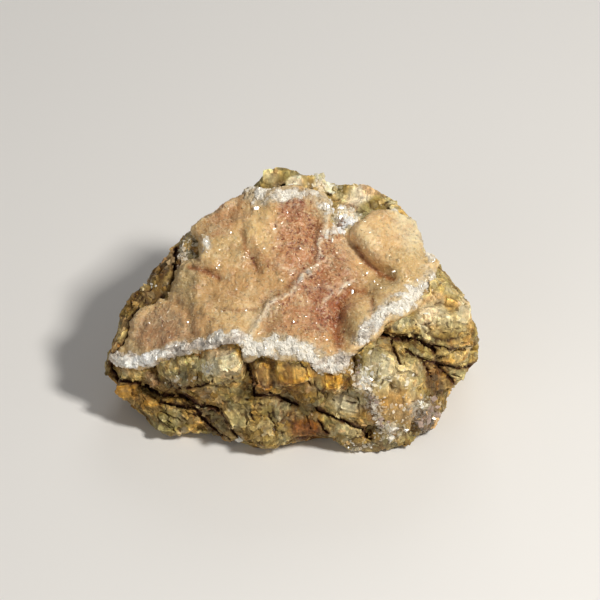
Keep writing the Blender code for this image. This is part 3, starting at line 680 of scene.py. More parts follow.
# Last come the thin cracks in front and the splits at the back. The seat on the table stays as it was.
shaped -= np.outer(seen * cut, OUT)
shaped -= 0.65 * split_line(1.0 - seen, place, wide_border, 0.55)[:, None] * facing
shaped = mixed(shaped, relaxed(shaped, wires, 50), (seen * oval(across, up, *DENT))[:, None])
shaped = mixed(shaped, place, fade(0.9, 0.0, shaped[:, 2])[:, None])
put_points(rock.data, above_table(shaped))
moved = np.linalg.norm(shaped - place, axis=1)
print("rock", len(rock.data.polygons), "faces, moved up to", moved.max().round(2), "mm")

# %% [markdown]
# ## Fewer triangles where nobody looks
#
# The rock's seat under the crust, its back and its underside need less mesh than its front. A Decimate
# modifier weighted by a vertex group takes its triangles mostly from there.


# %% Thin out the rock
ROCK_TRIANGLES, CRUST_TRIANGLES = 192000, 190000


def thin_out(piece, spare, wanted):
    """Reduces a piece to about `wanted` triangles, taking them where `spare` is near 1."""
    group = piece.vertex_groups.new(name="spare")
    for level in range(1, 11):
        chosen = np.nonzero((spare * 10.0).round() == level)[0]
        group.add(chosen.tolist(), level / 10.0, "REPLACE")
    fewer = piece.modifiers.new("fewer triangles", "DECIMATE")
    fewer.ratio = wanted / (2.0 * len(piece.data.polygons))
    fewer.vertex_group = group.name
    fewer.vertex_group_factor = 1.0
    settle(piece)
    piece.vertex_groups.clear()


across, up, _ = show_plane(shaped)
facing = relaxed(normals_of(rock.data), wires, 3)
hidden = fade(0.2, -0.2, facing @ OUT)
covered = fade(0.8, 2.0, depth_inside(CRUST_EDGE, across, up)) * fade(0.0, 0.3, facing @ OUT)
spare = np.clip(0.10 + 0.58 * hidden + 0.9 * covered + fade(-0.7, -0.9, facing[:, 2]), 0.0, 1.0)
thin_out(rock, spare, ROCK_TRIANGLES)
put_points(rock.data, above_table(points_of(rock.data)))
print("rock", len(rock.data.polygons), "triangles")

# %% [markdown]
# ## The rock's colours
#
# Ochre, olive and straw-coloured stone lie side by side, with rust along the cracks and a few milky or
# glassy patches of crystals. The colours are painted on the points: first a mottled ground that covers the
# whole rock, then soft patches on the show side, some of them painted shade, then brown in the hollows, which
# is partly rust and partly painted shade, and paler edges, which are partly wear and partly a painted
# highlight.

# %% Patches of the rock
ROCK_PATCHES = [
    # across, up, half width, half height, slant, colour, strength
    # the knobs and crystals along the top
    (0, 65, 10, 3.4, 0, OLIVE, 0.85), (-2, 66, 5, 2.4, 0, BROWN, 0.25), (-5.1, 66.1, 1.9, 2, 12, LEMON, 0.95),
    (-2, 64, 3.5, 1, 0, GREY, 0.6), (-3.2, 65.6, 1.4, 1.8, 0, GOLD, 0.35),
    (1.2, 64.7, 1.8, 1.1, 8, CREAM, 0.9), (4.2, 64.9, 1.6, 1.4, 0, OCHRE, 0.6),
    (6.9, 65.6, 1.5, 1.5, 0, SAGE, 0.8), (8.4, 63.1, 2.9, 1.4, -36, PRIMROSE, 0.95),
    (11.6, 63.2, 2.6, 1, -36, OLIVE, 0.8), (11.4, 60.5, 2.6, 1.4, -15, STRAW, 0.85),
    (14, 62.8, 1.8, 1.6, 0, OCHRE, 0.7), (16, 61.1, 2.8, 2.6, 0, PRIMROSE, 0.95),
    (16.2, 61, 2.4, 2.2, 0, MILK, 0.85), (18.4, 63, 1.7, 1.5, 0, LILAC, 0.8),
    (23, 60.8, 4.5, 2.4, -30, GREY, 0.9), (24.4, 60, 2.4, 1, -30, SAGE, 0.6),
    (19.5, 58.2, 5, 2, 28, OLIVE, 0.8), (14, 57.8, 3, 1.4, 10, LILAC, 0.8),
    (13.6, 54.6, 3.2, 3, 0, MILK, 0.95), (11.2, 54.4, 1.3, 2, 0, LILAC, 0.6),
    (-5.3, 66.4, 1.1, 1.2, 0, CREAM, 0.3),
    # the wall that falls away at the upper left; its brown is partly painted shade, as it faces away from the
    # key
    (-34, 38.5, 12, 4, 45, BROWN, 0.8), (-40.5, 28, 3.4, 8, 20, BROWN, 0.45),
    (-35, 40.5, 5, 1.6, 45, OLIVE, 0.35), (-31, 44, 5, 1.6, 45, RUST, 0.5), (-38, 34, 3, 1.2, 45, GOLD, 0.4),
    (-24, 47.7, 2, 4, 0, GREY, 0.8), (-26.5, 46, 1, 3, -15, BROWN, 0.7),
    (-39.5, 30, 2.4, 5.5, 20, OLIVE, 0.4), (-37, 36.5, 4, 1.5, 45, RUST, 0.5),
    (-40.5, 27, 1.6, 1.6, 0, STRAW, 0.6), (-42, 24, 2.5, 3, 0, RUST, 0.4),
    # under the left rim
    (-43.5, 18.5, 1.6, 3.6, 0, BROWN, 0.7), (-38.3, 18.3, 3.4, 2, 0, SAGE, 0.7),
    (-38.5, 18.5, 1.4, 1.2, 0, LEMON, 0.6), (-32.7, 17.5, 1.7, 1.9, 0, LILAC, 0.9),
    (-27.8, 20.8, 6, 1.1, 4, STRAW, 0.8), (-30, 20.2, 3, 0.9, 0, GOLD, 0.4),
    (-26, 17.2, 4.2, 2.2, 0, BLUE_GREY, 0.9), (-29, 18.4, 2, 1, 0, SAGE, 0.6),
    (-16.6, 21, 5.4, 4.2, 6, SAGE, 0.9), (-16.3, 21.4, 4.8, 3.8, 6, CREAM, 0.95),
    (-15.8, 21, 3.6, 2.8, 6, MILK, 0.6), (-19.8, 19.9, 1.3, 1, 0, MILK, 0.8),
    (-12.2, 24.2, 1, 2.2, 0, GOLD, 0.9), (-20, 17.5, 3, 0.9, 0, LEMON, 0.35),
    # the lip and the slabs below the long crack
    (-40.2, 14.5, 3.6, 2, -8, GOLD, 0.85), (-38, 13, 5, 2.4, -20, AMBER, 0.5),
    (-39, 14.6, 1.8, 1, 0, LEMON, 0.2), (-43.5, 15.5, 1.4, 1.4, 0, RUST, 0.8),
    (-34, 11.6, 3.2, 2, -18, RUST, 0.5), (-33, 12, 1.8, 1, 0, GOLD, 0.6),
    (-27.5, 12.6, 2.8, 0.8, 0, GOLD, 0.8), (-19.8, 13, 4, 2.6, -10, RUST, 0.6),
    (-17.5, 12.5, 2, 1.5, 0, GOLD, 0.5), (-14, 15, 3.2, 3.4, 0, SAGE, 0.5),
    (-13, 12.8, 2.6, 2, 0, OLIVE, 0.5), (-28.3, 6.8, 5.6, 3, 8, OLIVE, 0.8),
    (-27, 7.6, 1.6, 1, 0, CREAM, 0.7), (-30.5, 5, 2.4, 1.5, 0, SAGE, 0.5),
    (-25.8, 5.2, 1.2, 0.8, 0, MILK, 0.7), (-31.2, 7.8, 1, 0.7, 0, CREAM, 0.6),
    (-18.2, 7, 4.6, 2, -42, GREY, 0.75), (-23, 8.5, 3, 1.2, -42, OCHRE, 0.6),
    (-12.8, 8.4, 2.3, 2.8, 0, SAGE, 0.75), (-12.6, 2.8, 1, 1.4, -30, MILK, 0.85),
    (-7.8, 6, 2.4, 3.8, 0, OCHRE, 0.6), (-2.5, 9.4, 2.3, 2.1, 0, GREY, 0.6), (-4.6, 3, 4, 1.8, 0, SAGE, 0.7),
    # rust and amber under the middle of the rim
    (-7.2, 16.9, 2.8, 3.8, 0, BRONZE, 0.9), (-6.4, 18, 1.4, 1.8, 0, GOLD, 0.4),
    (-1.4, 21.6, 6, 1, -6, BROWN, 0.7), (0.7, 18.2, 5, 2.3, -5, GOLD, 0.8),
    (-1, 15.6, 3, 1.4, -20, RUST, 0.7), (3.4, 15.6, 3, 1.6, -20, AMBER, 0.6),
    (9.8, 20.4, 4.4, 1.8, 0, LILAC, 0.7), (8, 20.8, 1.6, 1, 0, MILK, 0.5), (10.7, 16.8, 3, 3, 0, GOLD, 0.9),
    (11.5, 15, 1.8, 2.4, 0, AMBER, 0.75), (2.5, 12.2, 5.3, 2.8, -12, BROWN, 0.65),
    (12.8, 5.6, 5.4, 2.8, -20, BROWN, 0.45), (-40.4, 14.6, 3.6, 2.2, -8, RUST, 0.5),
    (6, 12.6, 3, 1.4, -20, OLIVE, 0.6), (3.6, 5.6, 4, 3, 0, AMBER, 0.98), (4, 4.6, 2.6, 1.2, 0, BROWN, 0.4),
    (14.2, 11.6, 5, 2.6, -8, STRAW, 0.95), (13.8, 11.6, 4.6, 2.4, -8, CREAM, 0.95),
    (13.6, 11.8, 3.6, 1.8, -8, MILK, 0.45), (17, 9.5, 2, 1.8, 0, GOLD, 0.6),
    (13, 5.8, 4.6, 2.2, -20, OLIVE, 0.5), (12, 5.4, 2.4, 1.1, -20, STRAW, 0.6),
    (15.1, 0.9, 2.6, 1.1, 0, GREY, 0.8),
    # the pale face at the lower right
    (23, 18.6, 6.8, 6.6, 0, CREAM, 0.62), (25.3, 10.6, 6.4, 4.2, 0, FLESH, 0.85),
    (22, 13, 3, 2, 0, GOLD, 0.35), (27, 14.6, 2, 1.6, 0, GOLD, 0.4), (21, 24.4, 2, 1.4, 0, STRAW, 0.5),
    (16.6, 17.6, 1.8, 2.4, 0, MILK, 0.95), (19.2, 12.1, 1.7, 4, 20, LILAC, 0.85),
    (20.5, 7, 1.8, 3, 20, LILAC, 0.5), (23.6, 5, 1.8, 1.9, -20, MILK, 0.85),
    # the brown at the lower right corner, over the lilac, is painted shade
    (32, 8.6, 3.4, 4.4, 20, LILAC, 0.95), (32.6, 7.4, 3, 4, 20, BROWN, 0.55),
    (30.6, 11.6, 1.5, 0.8, -10, MILK, 0.95), (21, 1.4, 5.4, 1.6, 8, BLUE_GREY, 0.85),
    (26.5, 3.6, 2.4, 1.6, 20, CREAM, 0.4),
    # the right shoulder
    (24.5, 31, 4.2, 1.8, 5, SAGE, 0.8), (26, 30.6, 4, 1.2, 0, GREY, 0.5),
    (35.4, 33.6, 5, 3.4, -10, GOLD, 0.4), (37, 33.6, 5, 3.4, -10, LEMON, 0.75),
    (35, 32, 2.6, 1.4, 10, GOLD, 0.7), (33, 35, 4, 2.4, 0, CREAM, 0.6), (32, 36.8, 3, 2, 0, FLESH, 0.7),
    (37, 31, 5, 2.6, 0, STRAW, 0.85), (33.6, 32.6, 3.6, 1.6, -10, CREAM, 0.6),
    (41.2, 34.6, 1.8, 2.4, 0, CREAM, 0.8), (35, 35.4, 1.6, 1.2, 0, RUST, 0.4),
    (38.5, 27.4, 5, 2, -6, OLIVE, 0.6), (33.6, 25.2, 9, 2, -12, SAGE, 0.55),
    (40, 23.5, 4, 1.2, -8, GREY, 0.55), (27, 24.4, 5, 2.2, -25, OLIVE, 0.55), (26, 22, 3, 2.4, 0, STRAW, 0.4),
    (39.3, 18.2, 3.4, 2.2, -30, SAGE, 0.85), (35, 17, 3.8, 3.2, -40, BROWN, 0.98),
    (36, 16.4, 2.6, 2.2, -35, BRONZE, 0.5), (34.2, 18.6, 1.2, 2.2, 30, AMBER, 0.6),
]
FANS = [
    # where the stone is fibrous: across, up, half width, half height, slant
    (-7, 17.5, 3, 4.4, 0), (0.7, 18, 6.5, 2.8, -5), (11, 17, 3.6, 3.6, 0), (35.5, 17, 4.2, 3.6, -40),
    (3.6, 5.6, 3.6, 2.6, 0),
]
FAN_ACROSS = slanted(12)[0]  # the direction across the fibres

BRIGHTNESS = np.array([0.2126, 0.7152, 0.0722])
BLOCK_TINTS = [OCHRE, OLIVE, STRAW, GOLD, RUST, GREY, CREAM, BROWN]
BLOCK_CHANCES = [0.22, 0.18, 0.18, 0.14, 0.10, 0.05, 0.07, 0.06]


def block_tints(points, size, seed):
    """A stone colour and a brightness for each cell of the rock."""
    _, _, _, owner = cells(points, size, seed)
    choice = np.searchsorted(np.cumsum(BLOCK_CHANCES), chance_of(owner, seed, 9) * 0.999)
    return np.array(BLOCK_TINTS)[choice], 0.72 + 0.5 * chance_of(owner, seed, 10)[:, None]


def blend(tint, over, share):
    return mixed(tint, over, share[:, None])


def patched(tint, patches, points_at, seen, soft):
    """A colour with soft oval patches painted over its seen side, one after the other."""
    for *area, over, strength in patches:
        tint = blend(tint, over, strength * seen * oval(*points_at, *area, soft))
    return tint


def lit(tint, share):
    """A colour made lighter by a share of itself, or darker where the share is below 0."""
    return tint * (1.0 + share)[:, None]


# %% [markdown]
# The paint goes on in this order: ground, patches, streaks, then dark seams and darker hollows, which are
# partly dirt and partly painted shade, and paler edges, which are partly wear and partly a painted highlight.
# Mixing by masks on the points keeps every border as fine as the mesh, without an image.


# %% Paint the rock
def rock_tint(points, seen):
    """The stone's colour at points in millimetres, with some painted shade, before seams, hollows and edges.
    """
    wide = smooth_noise(points, 14.0, 31, 2)
    near = smooth_noise(points, 5.0, 32, 3)
    tint = blend(np.tile(OCHRE, (len(points), 1)), OLIVE, 0.7 * fade(0.35, 0.65, wide))
    tint = blend(tint, STRAW, 0.6 * fade(0.45, 0.70, near))
    tint = blend(tint, RUST, 0.5 * fade(0.56, 0.74, smooth_noise(points, 8.0, 33, 3)))
    across, up = wandered(points, 1.3, 4.0, 41)
    tint = patched(tint, ROCK_PATCHES, (across, up), seen, 0.45)
    on_blocks = [(a, u, 0.6 * width, 0.6 * height, *rest, 0.60) for a, u, width, height, *rest in BLOCKS]
    tint = patched(tint, on_blocks, (across, up), seen, 0.25)
    tint = blend(tint, DUST, 0.62 * (1.0 - seen) * (0.5 + smooth_noise(points, 6.0, 35, 3)))

    # Painted shade darkens the show side towards its foot, which is warmer too, and the stone is streaked
    # where it is fibrous.
    tint = lit(tint, -seen * (0.22 * fade(34.0, 22.0, up) + 0.14 * fade(18.0, 6.0, up)))
    tint = tint * (1.0 - np.outer(seen * fade(34.0, 22.0, up), (0.0, 0.03, 0.16)))
    fans = seen * ovals(FANS, across, up, 0.4)
    streaks = smooth_noise(squeezed(points, FAN_ACROSS, 4.0), 3.0, 34, 2)
    tint = blend(tint, AMBER, 0.60 * fans * fade(0.48, 0.34, streaks))
    tint = lit(tint, 0.9 * fans * fade(0.54, 0.68, streaks))

    # Each block and each chip leans a little to a colour and a brightness of its own.
    crooked = crooked_blocks(points)
    calm = (seen * calm_mask(points))[:, None]
    for size, seed, most in ((BLOCK_SIZE, BLOCK_SEED, 0.30), (CHIP_SIZE, CHIP_SEED, 0.26)):
        other, bright = block_tints(crooked, size, seed)
        other = other * ((tint @ BRIGHTNESS) / (other @ BRIGHTNESS))[:, None] ** 0.75
        contrast = (0.65 + 0.30 * seen[:, None]) * (1.0 - 0.4 * calm)
        tint = mixed(tint, other, most * (1.0 - 0.55 * calm)) * (1.0 - contrast * (1.0 - bright))
    return tint


def painted_rock(mesh):
    """Stores the rock's colour with seams, painted shade and painted highlight, and where it is weathered."""
    points, normals, wide_hollow, fine_hollow = skin_of(mesh, 24)
    seen = fade(-0.15, 0.25, normals @ OUT)
    calm = seen * calm_mask(points)
    tint = rock_tint(points, seen)

    # Painted shade, with some stain, darkens the hollows; a painted highlight, with some wear, lightens the
    # edges.
    tint = blend(tint, BROWN, (0.40 + 0.18 * seen) * fade(0.10, 0.50, wide_hollow))
    tint = lit(tint, (0.08 + 0.22 * seen) * fade(-0.10, -0.45, wide_hollow))
    tint = blend(tint, SEAM, (0.38 + 0.24 * seen - 0.34 * calm) * fade(0.04, 0.15, fine_hollow))
    tint = lit(tint, (0.10 + 0.38 * seen) * fade(-0.02, -0.12, fine_hollow))

    # Seams between the blocks, splits between the widest faces, and the drawn cracks.
    _, nearest, second, _ = cells(crooked_blocks(points), BLOCK_SIZE, BLOCK_SEED)
    seams = np.exp(-(((second - nearest) / 0.50) ** 2)) * fade(0.42, 0.56, smooth_noise(points, 4.0, 43, 2))
    tint = blend(tint, SEAM, (0.6 + 0.12 * seen - 0.32 * calm) * seams)
    _, nearest, second, _ = cells(crooked_wide(points), WIDE_SIZE, WIDE_SEED)
    tint = blend(tint, SEAM, 0.75 * split_line(1.0 - seen, points, second - nearest, 0.7))
    across, up = wandered(points, 0.35, 1.6, 42)
    cracks = seen * np.maximum(crack_mask(across, up, 0.55), 0.8 * hair_mask(points))
    tint = blend(tint, BROWN, 0.55 * seen * fade(0.15, 0.7, crack_mask(across, up, 1.1)))
    tint = blend(tint, SEAM, 0.92 * fade(0.30, 0.85, cracks))
    beside_crust = stroke(CRUST_EDGE[:12], across, up, 1.4)
    tint = blend(tint, SEAM, 0.90 * seen * beside_crust * fade(0.25, 0.48, smooth_noise(points, 3.0, 44, 2)))
    store_colour(mesh, "Tint", np.clip(tint, 0.0, 1.0))
    store_number(mesh, "Weathered", 1.0 - seen)


painted_rock(rock.data)
print("rock painted with", len(ROCK_PATCHES), "patches")

# %% [markdown]
# ## The rock's finish
#
# Broken stone is dull, but a few of its grains are glassy. The shader reads the painted colour, mottles it
# with fine noise, gives each tiny grain its own shade and gloss, and roughens the light with a bump that is
# far finer than the mesh.


# %% A small kit for node materials
def fixed(node, values):
    """Gives sockets of a node their plain values."""
    for name, value in values.items():
        node.inputs[name].default_value = value


class Nodes:
    """Adds and links shader nodes of one material."""

    def __init__(self, name):
        self.material = bpy.data.materials.new(name)
        self.material.use_nodes = True
        self.tree = self.material.node_tree
        self.shader = self.tree.nodes["Principled BSDF"]
        self.place = self.add("ShaderNodeTexCoord").outputs["Object"]

    def add(self, kind, **settings):
        node = self.tree.nodes.new(kind)
        for name, value in settings.items():
            setattr(node, name, value)
        return node

    def link(self, source, target):
        self.tree.links.new(source, target)

    def give(self, name, source):
        """Links something to a socket of the material's own shader."""
        self.link(source, self.shader.inputs[name])

    def parts(self, colour_socket):
        """The red, green and blue of a colour as three numbers."""
        node = self.add("ShaderNodeSeparateColor")
        self.link(colour_socket, node.inputs["Color"])
        return node.outputs

    def read(self, name, output="Fac"):
        return self.add("ShaderNodeAttribute", attribute_name=name).outputs[output]

    def noise(self, scale, detail=3.0, roughness=0.5, distortion=0.0, stretch=None):
        node = self.add("ShaderNodeTexNoise")
        place = self.place
        if stretch is not None:
            pressed = self.add("ShaderNodeMapping")
            fixed(pressed, {"Scale": stretch, "Rotation": (0.3, 0.35, 0.2)})
            self.link(self.place, pressed.inputs["Vector"])
            place = pressed.outputs["Vector"]
        self.link(place, node.inputs["Vector"])
        fixed(node, {"Scale": scale, "Detail": detail, "Roughness": roughness, "Distortion": distortion})
        return node.outputs["Fac"]

    def bent_place(self, scale, reach):
        """Object coordinates pushed about, so that cells read there get crooked borders."""
        push = self.add("ShaderNodeTexNoise")
        self.link(self.place, push.inputs["Vector"])
        push.inputs["Scale"].default_value = scale
        moved = self.add("ShaderNodeVectorMath", operation="MULTIPLY_ADD")
        self.link(push.outputs["Color"], moved.inputs[0])
        moved.inputs[1].default_value = (reach, reach, reach)
        self.link(self.place, moved.inputs[2])
        return moved.outputs["Vector"]

    def grains(self, scale, feature="F1", place=None):
        node = self.add("ShaderNodeTexVoronoi", feature=feature)
        self.link(place or self.place, node.inputs["Vector"])
        node.inputs["Scale"].default_value = scale
        return node

    def between(self, value, low, high, to_low=0.0, to_high=1.0):
        node = self.add("ShaderNodeMapRange", interpolation_type="SMOOTHSTEP")
        self.link(value, node.inputs["Value"])
        fixed(node, {"From Min": low, "From Max": high, "To Min": to_low, "To Max": to_high})
        return node.outputs["Result"]

    def math(self, operation, first, second):
        node = self.add("ShaderNodeMath", operation=operation)
        for socket, value in zip(node.inputs, (first, second)):
            if isinstance(value, (int, float)):
                socket.default_value = value
            else:
                self.link(value, socket)
        return node.outputs["Value"]

    def mix(self, share, first, second, blend_type="MIX"):
        node = self.add("ShaderNodeMix", data_type="RGBA", blend_type=blend_type)
        colours = [s for s in node.inputs if s.type == "RGBA"]
        for socket, value in ((node.inputs[0], share), (colours[0], first), (colours[1], second)):
            if isinstance(value, (int, float)):
                socket.default_value = value
            elif isinstance(value, np.ndarray):
                socket.default_value = (*value.tolist(), 1.0)
            else:
                self.link(value, socket)
        return [s for s in node.outputs if s.type == "RGBA"][0]

    def shaded(self, colour_socket, value, low, high, darkest, lightest):
        """A colour times a number, which goes from `darkest` to `lightest` as the value goes up."""
        grey = self.add("ShaderNodeCombineColor")
        times = self.between(value, low, high, darkest, lightest)
        for name in ("Red", "Green", "Blue"):
            self.link(times, grey.inputs[name])
        return self.mix(1.0, colour_socket, grey.outputs["Color"], "MULTIPLY")

    def bump(self, height, distance, strength, under=None):
        node = self.add("ShaderNodeBump")
        self.link(height, node.inputs["Height"])
        fixed(node, {"Distance": distance, "Strength": strength})
        if under is not None:
            self.link(under, node.inputs["Normal"])
        return node.outputs["Normal"]


print("node kit ready:", [name for name in vars(Nodes) if not name.startswith("_")])


# %% Rock finish
def rock_finish():
    nodes = Nodes("broken ochre rock")
    tint = nodes.shaded(nodes.read("Tint", "Color"), nodes.noise(420.0, 5.0, 0.65), 0.28, 0.72, 0.80, 1.20)
    fibres = nodes.noise(1500.0, 4.0, 0.6, 0.4, (1.0, 1.0, 0.28))
    tint = nodes.shaded(tint, fibres, 0.32, 0.68, 0.84, 1.15)
    grain = nodes.grains(1500.0)
    per_grain = nodes.parts(grain.outputs["Color"])
    tint = nodes.shaded(tint, per_grain["Red"], 0.0, 1.0, 0.90, 1.10)

    # Only on the weathered sides and back: chips of a millimetre and a half, each with its own shade.
    aged = nodes.read("Weathered")
    crooked = nodes.bent_place(450.0, 0.0024)
    per_chip = nodes.parts(nodes.grains(620.0, place=crooked).outputs["Color"])
    tint = nodes.mix(aged, tint, nodes.shaded(tint, per_chip["Red"], 0.0, 1.0, 0.82, 1.15))
    tint = nodes.mix(aged, tint, nodes.shaded(tint, per_grain["Blue"], 0.0, 1.0, 0.84, 1.16))
    chip_edge = nodes.grains(620.0, "DISTANCE_TO_EDGE", crooked).outputs["Distance"]
    open_edge = nodes.math("MULTIPLY", aged, nodes.between(nodes.noise(330.0, 2.0), 0.44, 0.62))
    dark_edge = nodes.math("MULTIPLY", open_edge, nodes.between(chip_edge, 0.02, 0.14, 0.50, 0.0))
    tint = nodes.mix(dark_edge, tint, BROWN)

    # Brown specks and pale flecks everywhere, then a few glassy grains, and the bumps.
    specks = nodes.between(nodes.noise(1300.0, 4.0, 0.7, 0.6), 0.58, 0.66)
    tint = nodes.mix(nodes.math("MULTIPLY", specks, 0.50), tint, BROWN)
    tint = nodes.shaded(tint, nodes.noise(900.0, 4.0, 0.6), 0.56, 0.70, 1.0, 1.40)
    nodes.give("Base Color", tint)
    nodes.give("Roughness", nodes.between(per_grain["Green"], 0.80, 0.88, 0.70, 0.26))
    fine = nodes.bump(grain.outputs["Distance"], 0.00025, 0.30)
    finer = nodes.bump(fibres, 0.00022, 0.40, fine)
    nodes.give("Normal", nodes.bump(nodes.math("MULTIPLY", aged, per_chip["Green"]), 0.0005, 0.45, finer))
    nodes.shader.subsurface_method = "RANDOM_WALK"
    fixed(nodes.shader, {"Subsurface Weight": 0.20, "Subsurface Scale": 0.0007, "IOR": 1.5})
    fixed(nodes.shader, {"Subsurface Radius": (1.0, 0.8, 0.6), "Specular IOR Level": 0.25})
    return nodes.material


def dress(piece, material):
    piece.data.materials.clear()
    piece.data.materials.append(material)


rock_material = rock_finish()
dress(rock, rock_material)
print("rock finish", len(rock_material.node_tree.nodes), "nodes")

# %% [markdown]
# ## Splinters
#
# A broken face is not one surface: it is the tops of hundreds of splinters that stayed behind when the rest
# came away. A few boxes with pushed corners and worn edges are made as patterns, and copies of them are sunk
# into the rock so that only a corner or a face shows. Being flat and sharp, they read as stone at once.


# %% Splinter patterns
def splinter_mesh(seed):
    """A box with pushed corners and thin worn edges."""
    chance = np.random.default_rng(seed)
    shape = bmesh.new()
    bmesh.ops.create_cube(shape, size=1.0)
    for corner in shape.verts:
        corner.co += Vector(chance.uniform(-0.17, 0.17, 3))
    edges = shape.edges[:]
    bmesh.ops.bevel(shape, geom=edges, offset=0.05, affect="EDGES", segments=1, profile=0.5, material=-1)
    bmesh.ops.triangulate(shape, faces=shape.faces)
    return mesh_from(shape, "splinter")


SPLINTERS = [splinter_mesh(seed) for seed in range(6)]
print("splinters of", [len(mesh.polygons) for mesh in SPLINTERS], "triangles")


# %% Strew copies over a surface
def face_samples(mesh):
    """Middle, normal and area of each triangle."""
    corners = points_of(mesh)[corners_of(mesh)]
    cross = np.cross(corners[:, 1] - corners[:, 0], corners[:, 2] - corners[:, 0])
    double = np.linalg.norm(cross, axis=1)
    return corners.mean(axis=1), cross / (double[:, None] + 1e-12), double / 2.0


def pick(weights, count, seed):
    """Places chosen by chance, more often where the weight is high."""
    chance = np.random.default_rng(seed)
    return chance.choice(len(weights), size=count, replace=False, p=weights / weights.sum())


def strew(
    name, material, patterns, places, axes, sizes, tints, *, sink, lean, stretch, seed, along=None, **numbers
):
    """Copies of small patterns, each sunk into the surface at its place, joined into one piece.

    `axes` point out of the surface, `lean` is how far the copies tip from them, `stretch` holds the lowest
    and highest length, width and height, and `along` is the direction that the lengths follow. All further
    `numbers` are stored under their own names for the material to read.
    """
    chance = np.random.default_rng(seed)
    count = len(places)
    axis = unit(axes + chance.normal(0.0, 1.0, (count, 3)) * lean)
    side = chance.normal(0.0, 1.0 if along is None else 0.25, (count, 3)) + (0.0 if along is None else along)
    side = unit(side - axis * np.einsum("ij,ij->i", side, axis)[:, None])
    turn = np.stack([side, np.cross(axis, side), axis], axis=1)
    scale = sizes[:, None] * chance.uniform(*stretch, (count, 3))
    foot = places - axes * (sizes * sink)[:, None]
    all_points, all_faces, owners, total = [], [], [], 0
    for turn_of, pattern in enumerate(patterns):
        mine = np.arange(turn_of, count, len(patterns))
        body, faces = points_of(pattern), corners_of(pattern)
        grown = (body[None] * scale[mine, None]) @ turn[mine] + foot[mine, None]
        all_points.append(grown.reshape(-1, 3))
        first = total + np.arange(len(mine)) * len(body)
        all_faces.append((faces[None] + first[:, None, None]).reshape(-1, 3))
        owners.append(np.repeat(mine, len(body)))
        total += len(mine) * len(body)
    owners = np.concatenate(owners)
    mesh = bpy.data.meshes.new(name)
    mesh.from_pydata(above_table(np.concatenate(all_points)).tolist(), [], np.concatenate(all_faces).tolist())
    store_colour(mesh, "Tint", np.clip(tints[owners], 0.0, 1.0))
    for label, values in numbers.items():
        store_number(mesh, label, values[owners])
    piece = add_object(name, mesh)
    dress(piece, material)
    print(name, count, "copies with", len(mesh.polygons), "triangles")
    return piece


print("strewn pieces are made of", len(SPLINTERS), "patterns of splinters, and of crystals further on")

# %% [markdown]
# ### Splinters on the rock
#
# More splinters show on the show side than at the back, and none where the stone is smooth, on the cracks or
# under the crust. Their lengths follow the slabs where there are slabs. Each has the colour of its place.

# %% Splinters on the rock
SPLINTER_COUNT = 2600

middles, outward, areas = face_samples(rock.data)
seen = fade(-0.15, 0.25, outward @ OUT)
across, up = show_plane(middles)[:2]
clear = 1.0 - fade(-0.3, 0.4, depth_inside(CRUST_EDGE, across, up)) * fade(0.0, 0.3, outward @ OUT)
clear *= 1.0 - 0.9 * seen * crack_mask(across, up, 0.8)
clear *= fade(0.8, 1.6, middles[:, 2]) * (1.0 - 0.8 * seen * calm_mask(middles))
chosen = pick(areas * clear * (0.25 + 0.75 * seen), SPLINTER_COUNT, 51)
chance = np.random.default_rng(52)
sizes = 0.45 + 0.8 * chance.uniform(0.0, 1.0, len(chosen)) ** 2
bright = chance.uniform(0.82, 1.22, (len(chosen), 1))
in_left = oval(across, up, *SLABS_LEFT)[chosen, None]
in_right = oval(across, up, *SLABS_RIGHT)[chosen, None]
elsewhere = (1 - in_left) * (1 - in_right)
runs = in_left * LEFT_ALONG + in_right * RIGHT_ALONG + elsewhere * (UP_FACE + 0.35 * ACROSS)
splinters = strew(
    "rock_splinters", rock_material, SPLINTERS, middles[chosen], outward[chosen], sizes,
    rock_tint(middles[chosen], seen[chosen]) * bright, sink=0.34, lean=0.16,
    stretch=((0.9, 0.7, 0.7), (1.5, 1.2, 0.9)), seed=53, along=runs,
)

# %% [markdown]
# ## The crust's shape
#
# The crust is a skin of very small crystals grown over low domes. Its solid has the domes, furrows and
# knobs; here the facets of that coarse mesh are evened out first, and the veins, the furrows and two levels
# of grains are added. Along its front edge the crust is broken through, and its sugary inside shows.

# %% Lines and edges of the crust
VEINS = [
    # line, half width and height of the pale vein
    ([(-9.5, 28), (-7, 32), (-4.5, 35.5), (0, 38), (2, 40.5), (3, 42.5), (5, 43.5), (6.5, 45), (6.5, 49),
      (7.5, 52), (8.5, 56)], 0.52, 0.42),
    ([(8, 36), (11, 38), (13, 40), (14.5, 40)], 0.55, 0.38),
    ([(3, 42.5), (-1, 43.5), (-3.5, 44.5)], 0.5, 0.15), ([(11, 38), (7.5, 39.5), (3.5, 38.5)], 0.5, 0.12),
]
FURROWS = [
    # line, half width and depth of the furrow, half width and strength of the stain in it
    ([(-12, 52.5), (-11, 49), (-9, 45.5), (-8, 43)], 0.9, 0.3, 0.6, 0.55),
    ([(-24, 44), (-21, 43), (-17, 41.5)], 0.8, 0.45, 0.7, 0.8),
    ([(-17, 34.5), (-13, 33.5), (-8.5, 34)], 0.8, 0.25, 0.5, 0.45),
    ([(12.5, 51), (15, 48.5), (17.5, 45.5), (20.5, 42.5), (24, 41)], 0.8, 0.15, 0.6, 0),
    ([(17, 38), (14, 38.5), (11.5, 35.5), (10.5, 31.5), (11, 26)], 1.1, 0.3, 0.9, 0.8),
    ([(19, 36), (19, 32.5), (21, 31.5)], 0.7, 0.3, 0.6, 0.7),
]
